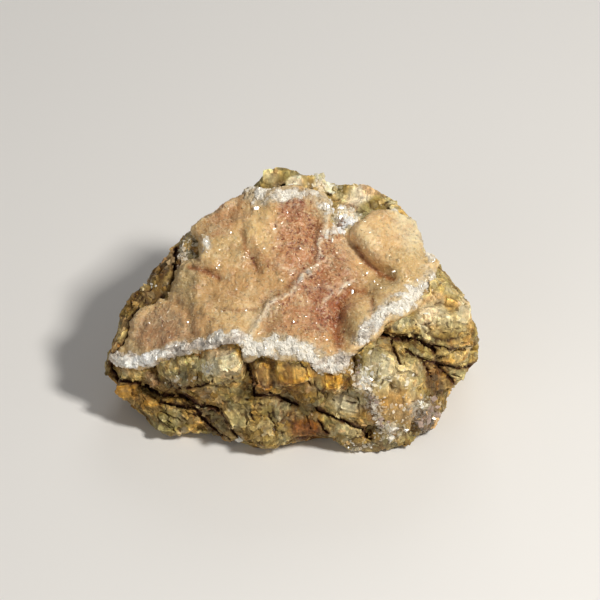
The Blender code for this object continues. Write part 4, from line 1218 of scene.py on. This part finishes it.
SMOOTHED = [
    # line, half width and share: grooves of the solid that are shallower on the real crust
    ([(11.5, 53), (13.5, 50), (16, 47), (20, 43), (24, 41.5)], 3, 0.95),
    ([(-25, 44.5), (-21, 43), (-16, 41)], 2.2, 0.8),
    ([(18, 38), (14, 38.5), (11.5, 35.5), (10.5, 31.5), (11, 26)], 2, 0.5),
]
STAINS = [(line, width, strength) for line, _, _, width, strength in FURROWS] + [
    ([(15.6, 48.4), (17.5, 45.5), (20.5, 42.5), (24, 41)], 0.75, 0.85),
    ([(-9.5, 51), (-7.5, 47.5), (-5, 44.5)], 0.6, 0.4),
]
SUGARY = [
    # line, half width and amount of white sugar: along the broken front edge, the top and the left rim
    ([(-10, 24.6), (-7, 24.8), (-3, 25), (1, 24.8), (5, 23.2)], 2.5, 1.25),
    ([(33.6, 41.4), (30.8, 38.2), (27.1, 35.8), (24.2, 34)], 2.3, 1.2),
    ([(24.2, 34), (20.6, 32.6), (18.9, 30.6)], 1.9, 0.86),
    ([(-9.4, 27.8), (-8.2, 31), (-5.6, 34.4)], 1.6, 0.48), ([(0.5, 38.4), (3, 41.4), (6, 44)], 1.2, 0.36),
    ([(28, 38.6), (30.5, 40.4)], 1.5, 0.7), ([(17.6, 30), (19.2, 29.2)], 1.6, 0.75),
    ([(-10, 61.6), (-6, 60.8), (-2, 61.2), (1, 61.6)], 2, 0.92), ([(2.5, 61.8), (6.2, 61)], 1.2, 0.66),
    ([(6.8, 60.2), (8.8, 57.6)], 1.7, 0.9),
    ([(24, 58.8), (28, 58.4), (31, 54.6), (32.6, 50), (33.2, 46.5)], 1.35, 0.74),
    ([(-20.5, 51), (-20.4, 48.6)], 0.9, 0.7), ([(9.2, 58.3), (9.2, 57.2)], 1.2, 0.9),
    ([(9.4, 51.2), (9, 53)], 0.8, 0.7), ([(-19, 27.5), (-16, 28.3), (-12.2, 28.8)], 0.7, 0.8),
    ([(-24, 23.3), (-21.6, 23.6)], 0.8, 0.8), ([(-37.8, 20.9), (-35, 21.8), (-31.6, 23.4)], 1.5, 1.05),
    ([(-31, 24.4), (-27, 25.2), (-24, 25.6)], 0.7, 0.7), ([(-42, 21.8), (-39, 21.6)], 1, 0.6),
]
FROSTED = [
    # line, half width and amount of grey, layered frost along the broken edge
    ([(-42.2, 21.9), (-36.5, 21.6), (-31, 23), (-25, 24.6)], 1.7, 0.95),
    ([(-25, 24.6), (-19, 25.8), (-14, 26.8), (-12, 27.2)], 1.4, 0.95),
    ([(5.5, 21.2), (9.5, 20.8), (13, 22)], 2, 0.9), ([(21.6, 32.4), (18.6, 29.6), (16, 27)], 2.1, 0.78),
    ([(10.6, 56), (10.4, 53)], 1, 0.6),
]
FLECKED = [
    # across, up, half width, half height, slant, amount
    (3, 52, 6, 8, 0, 0.85), (1, 58.6, 5, 2.5, -15, 0.8), (4, 46.5, 4, 3, 0, 0.9), (9, 46, 4, 7, 0, 0.8),
    (5, 40.5, 6, 4, 0, 1), (8.5, 34.5, 5, 6, 0, 1), (0, 34, 7, 6, 0, 0.6), (-7.5, 44.5, 4, 3, 0, 0.4),
    (-1.5, 48, 3, 3, 0, 0.7), (13, 41.5, 4, 3, 0, 0.5), (7, 28, 6, 4, 0, 0.5), (-30, 30, 8, 5, 0, 0.35),
    (-17, 53, 4, 3, 0, 0.35), (-20, 35, 12, 8, 0, 0.15), (24, 50, 8, 7, 0, 0.1),
]
BAND_LAYERS = slanted(13)[1]  # the direction across the layers of the white band
LEFT_RIM = -10.0, -13.0  # millimetres across: the layered left rim begins between these
LUMPS = 1.5, 80, 3  # size, seed and layers of the noise that makes the veins lumpy
print(len(VEINS), "veins,", len(FURROWS), "furrows,", len(SUGARY), "sugary strokes")


# %% [markdown]
# A crust that grew has no flat breaks, so its relief is a sum of soft swells and grains along the normals.
# Only its broken edge is coarse, and at the left rim it splits into layers.

# %% Sculpt the crust
druse = fine_copy("crust", CRUST_VOXEL)
wires = edges_of(druse.data)
start = points_of(druse.data)
across, up = show_plane(start)[:2]
inner = fade(0.4, 3.0, depth_inside(CRUST_EDGE, across, up))[:, None]
place = mixed(relaxed(start, wires, 5, 0.6), relaxed(start, wires, 24, 0.7), inner)
place = mixed(place, relaxed(place, wires, 60, 0.7), strokes(SMOOTHED, across, up)[:, None])
put_points(druse.data, place)
facing = relaxed(normals_of(druse.data), wires, 2)
place += facing * (0.30 + 0.26 * (1 - inner))
seen = fade(-0.1, 0.3, facing @ OUT)
across, up = wandered(place, 0.6, 2.5, 61)
sugar = np.maximum(strokes(SUGARY, across, up), strokes(FROSTED, across, up))
sugar = fade(0.30, 0.62, sugar + 0.6 * (smooth_noise(place, 1.6, 67, 3) - 0.5))
rough_areas = ovals(FLECKED, across, up, 0.6)

# Low swells, knobs, two levels of grains, and coarse sugar where the edge is broken.
swell = (smooth_noise(place, 5.0, 62, 2) - 0.5) * 1.0 + (smooth_noise(place, 2.1, 68, 2) - 0.5) * 0.55
scallops = (smooth_noise(place, 1.3, 69) - 0.35) * 0.8 * (1 - inner[:, 0])
knobs = grain_relief(place, 1.7, step=0.05, tilt=0.10, crack=0.02, seed=63)
crystals = grain_relief(place, 0.75, step=0.02, tilt=0.15, crack=0.02, seed=64) * (1 + 1.2 * rough_areas)
coarse = grain_relief(place, 1.2, step=0.13, tilt=0.34, crack=0.06, seed=65)
layered = sugar * fade(*LEFT_RIM, across)
layers = smooth_noise(squeezed(place, BAND_LAYERS, 3.5), 2.8, 78, 2)
coarse_share = 0.70 * sugar * (1.0 - 0.7 * layered) + 0.35 * rough_areas
relief = swell + scallops + knobs + crystals + coarse * coarse_share
relief += 0.9 * layered * (layers - 0.5)
lumpy = 0.2 + 1.8 * fade(0.25, 0.75, smooth_noise(place, *LUMPS))
for line, half_width, height in VEINS:
    relief += height * seen * stroke(line, across, up, 1.25 * half_width) * lumpy
for line, half_width, depth, _, _ in FURROWS:
    relief -= depth * seen * stroke(line, across, up, half_width)
put_points(druse.data, place + relief[:, None] * facing)
print("crust relief from", relief.min().round(2), "to", relief.max().round(2), "mm")

# %% Thin out the crust
hidden = fade(0.1, -0.3, normals_of(druse.data) @ OUT)
thin_out(druse, 0.05 + 0.95 * hidden, CRUST_TRIANGLES)
print("crust", len(druse.data.polygons), "triangles")

# %% [markdown]
# ## The crust's colours
#
# Peach on the domes, pink with dark red-brown flecks where iron stained it, honey-orange in the furrows,
# pale veins, a creamy right-hand dome, and white where the edge is broken. The amount of flecks and of sugar
# goes to the shader as a number of its own.

# %% Palette of the crust
BEIGE = colour(212, 180, 124)
HONEY = colour(240, 203, 144)
PEACH = colour(214, 168, 112)
PINK = colour(200, 142, 96)
ROSE = colour(174, 108, 70)
RUSSET = colour(146, 66, 44)
FLECK = colour(134, 30, 18)
UMBER = colour(150, 85, 36)
VEIN = colour(250, 236, 210)
BUTTER = colour(244, 226, 182)
SUGAR = colour(242, 238, 228)
SNOW = colour(254, 252, 248)
FROST = colour(214, 202, 190)
SLATE = colour(164, 158, 152)
HAZE = colour(214, 194, 160)
MOSS = colour(176, 152, 106)
CLAY = colour(188, 144, 102)

CRUST_PATCHES = [
    # across, up, half width, half height, slant, colour, strength
    (-17, 48, 11, 9, 0, BEIGE, 0.8), (-14.5, 56, 5, 4, 30, PINK, 0.6), (-20, 53, 5, 3, 40, CLAY, 0.4),
    (-25, 40.5, 4.5, 5, 0, MOSS, 0.9), (-7, 53, 5, 6.5, 15, HONEY, 0.85), (-8, 45, 4, 4, 0, PEACH, 0.7),
    (2, 51.5, 6, 8.5, 0, PINK, 0.85), (1.5, 58.5, 4.5, 3, -20, ROSE, 0.75),
    (5.5, 58.6, 3, 2.6, 0, BEIGE, 0.5), (2.4, 59.2, 1.8, 1.1, -20, RUSSET, 0.7),
    (10.4, 33.2, 1.6, 1.6, 30, RUSSET, 0.4), (2, 45.5, 6, 3.6, 0, PINK, 0.7), (-14, 41, 8, 5, 0, PEACH, 0.7),
    (-12, 31.5, 8, 4.6, 0, HONEY, 0.62), (-8.5, 32, 3, 4, 20, BUTTER, 0.3), (-30.5, 29, 9, 6, 10, CLAY, 0.7),
    (-31, 29.4, 8, 5, 0, HAZE, 0.28), (-39, 24.5, 4, 3, 30, MOSS, 0.7), (-31, 27, 5, 2.4, 10, PINK, 0.4),
    (-21.5, 31, 4, 3, 0, PEACH, 0.6), (0, 31.5, 6.5, 5.6, 0, PINK, 0.7), (-4, 30.5, 2.5, 4.5, 10, MOSS, 0.5),
    (4.5, 39.5, 5.5, 4.5, 0, PINK, 0.85), (5, 27, 6, 3, 0, PEACH, 0.6), (10, 45, 5.5, 7.5, 0, PINK, 0.85),
    (11, 47, 4.5, 3.6, 0, CLAY, 0.6), (13.4, 48.2, 3.4, 2.4, -45, HAZE, 0.42),
    (8.2, 34, 4.2, 6, 0, ROSE, 0.85), (11.5, 35, 3, 3.8, 40, ROSE, 0.9), (12, 28, 1.7, 5, 0, UMBER, 0.7),
    (15.6, 31, 3, 4.6, 0, BEIGE, 0.6), (15, 28, 2, 3, 0, MOSS, 0.5), (16.5, 36.5, 3, 2.4, 0, PEACH, 0.5),
    (14, 41.5, 3.4, 2.4, 0, CLAY, 0.6), (22.5, 50, 9, 8.5, 0, HONEY, 0.68), (22, 48.5, 5, 5, 0, PEACH, 0.3),
    # the butter at (17, 49.5) is a painted highlight on the dome's left flank, which faces away from the key
    (17, 49.5, 3.6, 4.5, 0, BUTTER, 0.4), (29, 52.5, 3.4, 6.5, 15, BUTTER, 0.9),
    (26, 57.4, 4, 2, -30, BUTTER, 0.75), (28.5, 43.5, 6.5, 5, 0, BEIGE, 0.85),
    (23.5, 36.8, 5, 3.6, 0, BEIGE, 0.85), (21, 40.4, 4, 1.8, 0, MOSS, 0.5),
]
# Where the broken edge is darkest and where it is whitest: across, up, half width, half height, slant.
SLATY = [(-20, 26, 9.5, 3.0, 13), (10.5, 21.6, 4.6, 2.6, 0), (18.5, 29.6, 4.4, 2.6, 45)]
SNOWY = [(-35, 22, 5.0, 1.7, 20)]
print(len(CRUST_PATCHES), "patches of crust colour")


# %% [markdown]
# The crust is painted like the rock, but the patches are softer, since its tints run into each other.


# %% Paint the crust
def painted_crust(points, normals, hollow, fine_hollow):
    """Colour, amount of flecks and amount of white for points of the crust, in millimetres."""
    seen = fade(-0.3, 0.2, normals @ OUT)
    across, up = wandered(points, 1.6, 4.5, 71)
    near_across, near_up = wandered(points, 0.5, 1.8, 72)
    tint = np.tile(PEACH, (len(points), 1))
    tint = blend(tint, BEIGE, 0.7 * smooth_noise(points, 9.0, 73, 2))
    tint = patched(tint, CRUST_PATCHES, (across, up), seen, 0.5)
    tint = blend(tint, CLAY, 0.45 * fade(0.52, 0.75, smooth_noise(points, 2.8, 74, 3)))
    tint = blend(tint, BUTTER, 0.30 * fade(0.55, 0.75, smooth_noise(points, 1.9, 75, 3)))
    tint = blend(tint, UMBER, 0.50 * fade(0.08, 0.45, hollow))
    tint = blend(tint, UMBER, strokes(STAINS, near_across, near_up))
    lumps = fade(0.18, 0.75, smooth_noise(points, *LUMPS)) + 0.12
    tint = blend(tint, VEIN, np.clip(2.4 * lumps * strokes(VEINS, near_across, near_up), 0.0, 0.95))
    # Painted highlight: butter on the small ridges of the crust.
    tint = blend(tint, BUTTER, 0.25 * fade(-0.02, -0.09, fine_hollow))

    # The broken edge: grey, layered frost, and loose white sugar in clumps over it.
    band_across, band_up = wandered(points, 1.3, 2.2, 76)
    white, grey = strokes(SUGARY, band_across, band_up), strokes(FROSTED, band_across, band_up)
    clumps = smooth_noise(points, 1.9, 77, 3)
    layers = smooth_noise(squeezed(points, BAND_LAYERS, 3.5), 2.8, 78, 2)
    tint = blend(tint, HAZE, 0.80 * fade(0.10, 0.55, np.maximum(white, grey)))
    frost = fade(0.26, 0.66, grey + 0.75 * (clumps - 0.5))
    tint = blend(tint, FROST, 0.80 * frost)
    slaty, snowy = ovals(SLATY, across, up, 0.5), ovals(SNOWY, across, up, 0.5)
    tint = blend(tint, SUGAR, 0.95 * frost * fade(0.44, 0.54, layers - 0.06 * slaty))
    tint = blend(tint, SLATE, (0.45 + 0.20 * slaty) * frost * fade(0.44, 0.32, layers - 0.06 * slaty))
    sugar = fade(0.36, 0.60, 0.62 * white + 1.25 * (clumps - 0.5)) * fade(0.08, 0.30, white)
    tint = blend(tint, SUGAR, sugar * (0.85 + 0.15 * smooth_noise(squeezed(points, ACROSS, 3.0), 1.4, 79, 2)))
    bare = np.clip(sugar + frost, 0.0, 1.0)
    tint = blend(tint, SNOW, 0.75 * bare * snowy * fade(0.35, 0.55, layers + 0.05))
    # Painted shade, with the grey of the gaps: slate in the hollows of the white sugar.
    tint = blend(tint, SLATE, 0.40 * bare * fade(0.03, 0.11, fine_hollow))
    edge = fade(1.8, 0.3, depth_inside(CRUST_EDGE, across, up)) * seen * fade(52.0, 46.0, up)
    tint = blend(tint, HONEY, 0.35 * edge * (1.0 - bare))
    flecks = ovals(FLECKED, across, up, 0.6) * seen * (1.0 - bare)
    return np.clip(tint * (0.96 + 0.08 * bare[:, None]), 0.0, 1.0), flecks, bare


points, normals, hollow, fine_hollow = skin_of(druse.data, 40)
tint, flecks, bare = painted_crust(points, normals, hollow, fine_hollow)
store_colour(druse.data, "Tint", tint)
store_number(druse.data, "Flecks", flecks)
store_number(druse.data, "White", bare)
print("crust painted; flecks up to", flecks.max().round(2))

# %% [markdown]
# ## The crust's finish
#
# Magnesite is a little translucent, so light goes a short way into it: that is the subsurface part. The
# crystals are too small to see one by one, but each has its own slope, so the crust glitters. The shader
# gives every half-millimetre grain a slight tilt and its own gloss. The red-brown flecks are short and
# twisted, so they follow the thin lines along which a distorted noise crosses its middle, broken into dashes
# by a second noise.


# %% Crust finish, and the finish of the clear crystals
def crust_finish():
    nodes = Nodes("peach druse")
    flecks, white = nodes.read("Flecks"), nodes.read("White")
    tint = nodes.shaded(nodes.read("Tint", "Color"), nodes.noise(700.0, 4.0, 0.5), 0.25, 0.75, 0.92, 1.06)
    grain = nodes.grains(2100.0)
    per_grain = nodes.parts(grain.outputs["Color"])
    tint = nodes.shaded(tint, per_grain["Red"], 0.0, 1.0, 0.965, 1.03)
    threads = nodes.noise(1300.0, 3.0, 0.6, 0.5, (1.0, 1.0, 0.3))
    tint = nodes.mix(white, tint, nodes.shaded(tint, threads, 0.34, 0.66, 0.84, 1.08))
    stain = nodes.between(nodes.noise(380.0, 3.0), 0.42, 0.66)
    tint = nodes.mix(nodes.math("MULTIPLY", nodes.math("MULTIPLY", stain, flecks), 0.40), tint, ROSE)
    wave = nodes.math("ABSOLUTE", nodes.math("SUBTRACT", nodes.noise(470.0, 2.0, 0.5, 1.3), 0.5), 0.0)
    thin = nodes.between(wave, 0.045, 0.085, 1.0, 0.0)
    broken = nodes.between(nodes.noise(1050.0, 2.0), 0.48, 0.54)
    spread = nodes.between(nodes.noise(260.0, 2.0), 0.36, 0.56)
    spread = nodes.math("MULTIPLY", spread, flecks)
    dashes = nodes.math("MULTIPLY", nodes.math("MULTIPLY", thin, broken), spread)
    pale = nodes.between(nodes.noise(1500.0, 3.0, 0.6, 1.2), 0.60, 0.66)
    tint = nodes.mix(nodes.math("MULTIPLY", pale, 0.52), tint, BUTTER)
    nodes.give("Base Color", nodes.mix(nodes.math("MULTIPLY", dashes, 0.50), tint, FLECK))
    nodes.give("Roughness", nodes.between(per_grain["Green"], 0.74, 0.88, 0.50, 0.14))
    shallow = nodes.bump(grain.outputs["Distance"], 0.0003, 0.16)
    nodes.give("Normal", nodes.bump(nodes.noise(3600.0, 3.0, 0.6), 0.00008, 0.25, shallow))
    nodes.shader.subsurface_method = "RANDOM_WALK"
    nodes.give("Subsurface Weight", nodes.between(white, 0.0, 1.0, 0.60, 0.12))
    fixed(nodes.shader, {"Subsurface Radius": (1.0, 0.88, 0.76), "Subsurface Scale": 0.0018, "IOR": 1.6})
    return nodes.material


def clear_finish():
    nodes = Nodes("clear magnesite")
    tint = nodes.shaded(nodes.read("Tint", "Color"), nodes.noise(1800.0, 3.0), 0.3, 0.7, 0.86, 1.08)
    nodes.give("Base Color", tint)
    nodes.give("Roughness", nodes.between(nodes.noise(2500.0, 2.0), 0.3, 0.7, 0.14, 0.30))
    fixed(nodes.shader, {"Subsurface Weight": 0.25, "Subsurface Scale": 0.0008, "IOR": 1.7})
    fixed(nodes.shader, {"Subsurface Radius": (1.0, 0.8, 0.6)})
    return nodes.material


crust_material, clear_material = crust_finish(), clear_finish()
dress(druse, crust_material)
print("nodes of both finishes:", [len(m.node_tree.nodes) for m in (crust_material, clear_material)])

# %% [markdown]
# ## Small crystals
#
# Magnesite grows as rhombs: cubes pushed over along one corner. A flat and a steep rhomb are made with bmesh
# from a cube, and copies of them in many sizes and turns are set into the crust. Each copy takes its colour
# from the crust under it. Their flat faces catch the light, which no bump can do as well.


# %% Crystal patterns
def rhomb_mesh(height):
    """A cube stood on its corner and pressed to the wanted height."""
    shape = bmesh.new()
    bmesh.ops.create_cube(shape, size=1.0)
    turn = Vector((1, 1, 1)).rotation_difference(Vector((0, 0, 1))).to_matrix().to_4x4()
    bmesh.ops.transform(shape, matrix=turn, verts=shape.verts)
    bmesh.ops.scale(shape, vec=(1.0, 1.0, height), verts=shape.verts)
    bmesh.ops.triangulate(shape, faces=shape.faces)
    return mesh_from(shape, "rhomb")


def plate_mesh():
    """A flat crystal: a square plate whose upper edges slope."""
    shape = bmesh.new()
    bmesh.ops.create_cube(shape, size=1.0)
    bmesh.ops.scale(shape, vec=(1.0, 0.8, 0.5), verts=shape.verts)
    top = [edge for edge in shape.edges if all(corner.co.z > 0 for corner in edge.verts)]
    bmesh.ops.bevel(shape, geom=top, offset=0.16, affect="EDGES", segments=1, profile=0.5, material=-1)
    bmesh.ops.triangulate(shape, faces=shape.faces)
    return mesh_from(shape, "plate")


RHOMBS = [rhomb_mesh(0.62), rhomb_mesh(0.80)]
PLATES = [plate_mesh()]
print("rhombs of", len(RHOMBS[0].polygons), "and plates of", len(PLATES[0].polygons), "triangles")


# %% Crystals on the crust
CRYSTAL_COUNT, NEEDLE_COUNT, POCKET_COUNT = 5200, 480, 1300


def face_mean(mesh, values):
    return values[corners_of(mesh)].mean(axis=1)


middles, outward, areas = face_samples(druse.data)
face_tint, face_bare = face_mean(druse.data, tint), face_mean(druse.data, bare)
face_flecks, face_hollow = face_mean(druse.data, flecks), face_mean(druse.data, hollow)
outer = np.maximum(fade(-0.1, 0.2, outward @ OUT), fade(0.2, 0.6, outward[:, 2]))
at_rim = face_bare * fade(*LEFT_RIM, show_plane(middles)[0])
wanted = areas * outer * (0.10 + 0.90 * face_bare) * (1.0 - 0.75 * at_rim)
wanted *= 1.0 - 0.8 * fade(0.1, 0.5, face_hollow)
chosen = pick(wanted, CRYSTAL_COUNT, 81)
chance = np.random.default_rng(82)
sizes = chance.uniform(0.22, 0.52, len(chosen)) * (1.0 + 0.7 * face_bare[chosen])
druse_crystals = strew(
    "druse_crystals", crust_material, RHOMBS, middles[chosen], outward[chosen], sizes,
    face_tint[chosen] * chance.uniform(0.96, 1.10, (len(chosen), 1)), sink=0.24, lean=0.40,
    stretch=((0.8, 0.8, 0.8), (1.3, 1.3, 1.2)), seed=83,
    Flecks=face_flecks[chosen] * 0.3, White=face_bare[chosen],
)

# %% [markdown]
# ## Red needles
#
# Iron left short dark-red needles in the pink parts of the crust. Each is one rhomb drawn out to a spindle
# and half sunk, so it gives a mark with crisp edges where a painted one would blur.

# %% Needles in the crust
clumped = fade(0.44, 0.62, smooth_noise(middles, 2.2, 84, 2))
chosen = pick(areas * outer * face_flecks**2.2 * (0.1 + 0.9 * clumped) + 1e-12, NEEDLE_COUNT, 85)
chance = np.random.default_rng(86)
sizes = chance.uniform(0.26, 0.62, len(chosen))
needles = strew(
    "red_needles", crust_material, RHOMBS, middles[chosen], outward[chosen], sizes,
    blend(face_tint[chosen], FLECK, chance.uniform(0.35, 0.85, len(chosen))), sink=0.0, lean=0.18,
    stretch=((0.9, 0.34, 0.30), (1.7, 0.60, 0.40)), seed=87,
)

# %% [markdown]
# ## Crystals that flash
#
# Here and there a flat crystal, from a third of a millimetre to two millimetres wide, lies just so that it
# throws the light of the key panel at the viewer. That happens where its face stands square to the direction
# half way between the light and the eye, so these plates are laid along it, give or take a little.

# %% Flashing crystals
FLASH_WIDTH = 0.62  # millimetres of plate for a size of 1
FLASHES = [
    # across, up, size
    (-8.5, 58.3, 2.7), (-14.2, 52.4, 0.7), (-20.4, 50.2, 1), (-20.2, 47.8, 0.8), (-24.5, 31.2, 0.8),
    (-16.5, 33.7, 0.8), (0.5, 31.2, 1.1), (8.9, 58.5, 2.2), (14.4, 38.3, 1.5), (21, 39.2, 0.8),
    (20.5, 40.1, 0.7), (24, 42.7, 1.3), (18.2, 42.7, 0.9), (10.1, 50.3, 1.5), (-6.6, 48.6, 0.6),
    (2.1, 48.6, 0.7), (-3.1, 50.7, 0.8), (8.5, 27.1, 0.8), (-13, 38.9, 0.7), (16.8, 44.9, 0.6),
    (13.6, 39.3, 0.7), (19.6, 40.8, 0.7), (-1, 57.2, 0.6), (6.6, 52.4, 0.7), (-29, 27.5, 0.5),
    (-33.5, 31, 0.6), (3.5, 36, 0.5), (-17.5, 43.5, 0.5), (-2, 41, 0.5), (26, 52, 0.5), (18.5, 52.5, 0.5),
    (30, 41, 0.8), (27.5, 36.8, 0.8), (-6, 25, 0.8), (1.5, 24.5, 0.8), (-35, 21.8, 0.8), (-27, 25, 0.7),
    (-11, 46.5, 0.5), (-10.5, 34, 0.6), (6, 31, 0.5),
]


def nearest_points(points, normals, spots):
    """For each show-plane spot, the index of the outer point that is seen nearest to it."""
    across, up, out = show_plane(points)
    found = []
    for a, u, _ in spots:
        away = np.hypot(across - a, up - u)
        near = np.nonzero((away < away.min() + 0.35) & (normals @ OUT > 0.0))[0]
        found.append(near[np.argmax(out[near])])
    return np.array(found)


to_light = np.array(key.location) / MM - points.mean(axis=0)
half_way = to_light / np.linalg.norm(to_light) + OUT
half_way /= np.linalg.norm(half_way)
at = nearest_points(points, normals, FLASHES)
sizes = np.array([size for _, _, size in FLASHES]) * FLASH_WIDTH
flashes = strew(
    "flashing_crystals", clear_material, PLATES, points[at] + half_way * 0.12 * sizes[:, None],
    np.tile(half_way, (len(at), 1)), sizes, 0.35 * tint[at] + 0.65 * SUGAR, sink=0.0, lean=0.03,
    stretch=((0.7, 0.5, 0.8), (1.5, 1.1, 1.1)), seed=91,
)

# %% [markdown]
# ## Crystals in the rock
#
# Small milky and violet-grey crystals also line a few pockets of the rock: beside the notch at the top, down
# the step under the crust's right end, and along the lower right corner.

# %% Pocket crystals
POCKETS = [
    # across, up, half width, half height, slant, amount
    (13, 54.5, 3.2, 2.8, 0, 1), (16.8, 17.5, 1.8, 2.8, 0, 1), (19.5, 11.5, 1.5, 4.5, 20, 0.8),
    (31.5, 8.5, 3.6, 4.2, 20, 0.8), (23, 4.8, 2.6, 2.2, -30, 0.6), (-19.6, 20, 1.6, 1.2, 0, 0.8),
    (-26, 17, 3.8, 2, 0, 0.08), (-24.4, 47.6, 2, 4, 0, 0.6), (8, 64.2, 4, 2, -20, 0.4),
    (16, 1.4, 3.4, 1.2, 0, 0.5), (10, 20.6, 4, 1.6, 0, 0.8), (22, 18, 6, 5, 0, 0.12), (26, 10, 5, 4, 0, 0.12),
]
# Painted shade: the pocket crystals at the lower right corner are made darker and less milky.
CORNER_SHADE = (32.0, 8.2, 4.6, 5.4, 20)  # where they are darker: across, up, half width, half height, slant

middles, outward, areas = face_samples(rock.data)
across, up = wandered(middles, 0.8, 2.0, 94)
pocket = ovals(POCKETS, across, up, 0.5) * (fade(0.0, 0.3, outward @ OUT) * areas)
chosen = pick(pocket + 1e-12, POCKET_COUNT, 95)
chance = np.random.default_rng(96)
sizes = chance.uniform(0.35, 0.95, len(chosen))
milky = 0.15 + 0.55 * chance.uniform(0.0, 1.0, (len(chosen), 1)) ** 2
# painted shade at the lower right corner
corner_shade = oval(across, up, *CORNER_SHADE)[chosen, None]
milky *= 1.0 - 0.65 * corner_shade
stone = rock_tint(middles[chosen], np.ones(len(chosen)))
pocket_crystals = strew(
    "pocket_crystals", clear_material, RHOMBS, middles[chosen], outward[chosen], sizes,
    mixed(stone, MILK, milky) * (1.2 - 0.35 * corner_shade), sink=0.24, lean=0.45,
    stretch=((0.7, 0.7, 0.7), (1.5, 1.3, 1.2)), seed=97,
)

# %% [markdown]
# The largest crystals, of one to two millimetres, stand in small clusters. Each is dropped on the point of
# the rock that is seen at its place, and leans towards the viewer, so that its faces catch the light.

# %% Clusters of larger crystals
CLUSTERS = [
    # across, up, spread, how many, size, colour: the notch beside the dome, the lower right, and small ones
    (13.7, 54.8, 0.9, 16, 2, SNOW), (11.6, 55.4, 0.8, 8, 1.4, LILAC), (12, 52.8, 0.6, 7, 1.2, SNOW),
    (15.6, 56.2, 0.7, 4, 1.1, MILK), (10.4, 57.6, 0.7, 5, 1, SNOW), (30.6, 11.6, 0.7, 5, 1.3, MILK),
    (33, 9.4, 1.2, 9, 1.3, LILAC), (34, 6.8, 1, 8, 1.2, FLESH), (31.4, 6.2, 1, 7, 1.2, LILAC),
    (29.2, 8.8, 1, 5, 1.1, FLESH), (24.4, 4.8, 0.9, 7, 1.3, MILK), (21.8, 6.6, 0.9, 5, 1.1, LILAC),
    (16.8, 18.2, 0.9, 9, 1.3, MILK), (17.6, 15.6, 0.8, 6, 1.1, MILK), (16, 20.4, 0.7, 4, 1, LILAC),
    (-33.3, 39.6, 0.4, 3, 0.7, MILK), (-19.6, 19.9, 0.6, 5, 1, MILK), (-24.6, 47.6, 0.8, 6, 1, GREY),
    (-12.4, 2.8, 0.6, 4, 1.1, MILK), (18.6, 11.8, 0.9, 6, 1, LILAC),
]
chance = np.random.default_rng(98)
spots, spot_tints = [], []
for across_at, up_at, spread, many, size, tone in CLUSTERS:
    for _ in range(many):
        push = chance.normal(0.0, spread, 2)
        spots.append((across_at + push[0], up_at + push[1], size * chance.uniform(0.5, 1.15)))
        spot_tints.append(tone * chance.uniform(0.85, 1.20))
spots, spot_tints = np.array(spots), np.array(spot_tints)
body, face = points_of(rock.data), normals_of(rock.data)
at = nearest_points(body, face, spots)
large_crystals = strew(
    "large_crystals", clear_material, RHOMBS, body[at], unit(face[at] + 0.6 * OUT), spots[:, 2], spot_tints,
    sink=0.16, lean=0.28, stretch=((0.8, 0.6, 0.7), (1.4, 1.0, 1.1)), seed=99,
)

# %% [markdown]
# ## Hand over to the frame
#
# Everything was sculpted in millimetres, so each piece is scaled to metres once, in its mesh. The fine rock
# and crust stand for their packed solids, and all pieces ride on the one rigid body.

# %% Scale, ride and replace
SHARP_EDGE = math.radians(32)  # edges of the rock that turn more than this stay sharp

pieces = {
    "host_rock": (rock, splinters),
    "magnesite": (druse, druse_crystals, needles, flashes, pocket_crystals, large_crystals),
}
for piece, slot in [(piece, slot) for slot, members in pieces.items() for piece in members]:
    piece.data.transform(Matrix.Scale(MM, 4))
    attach(piece, "root")
rock.data.shade_smooth()
rock.data.set_sharp_from_angle(angle=SHARP_EDGE)
druse.data.shade_smooth()
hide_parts("matrix")
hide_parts("crust")
print("pieces:", sorted(piece.name for members in pieces.values() for piece in members))
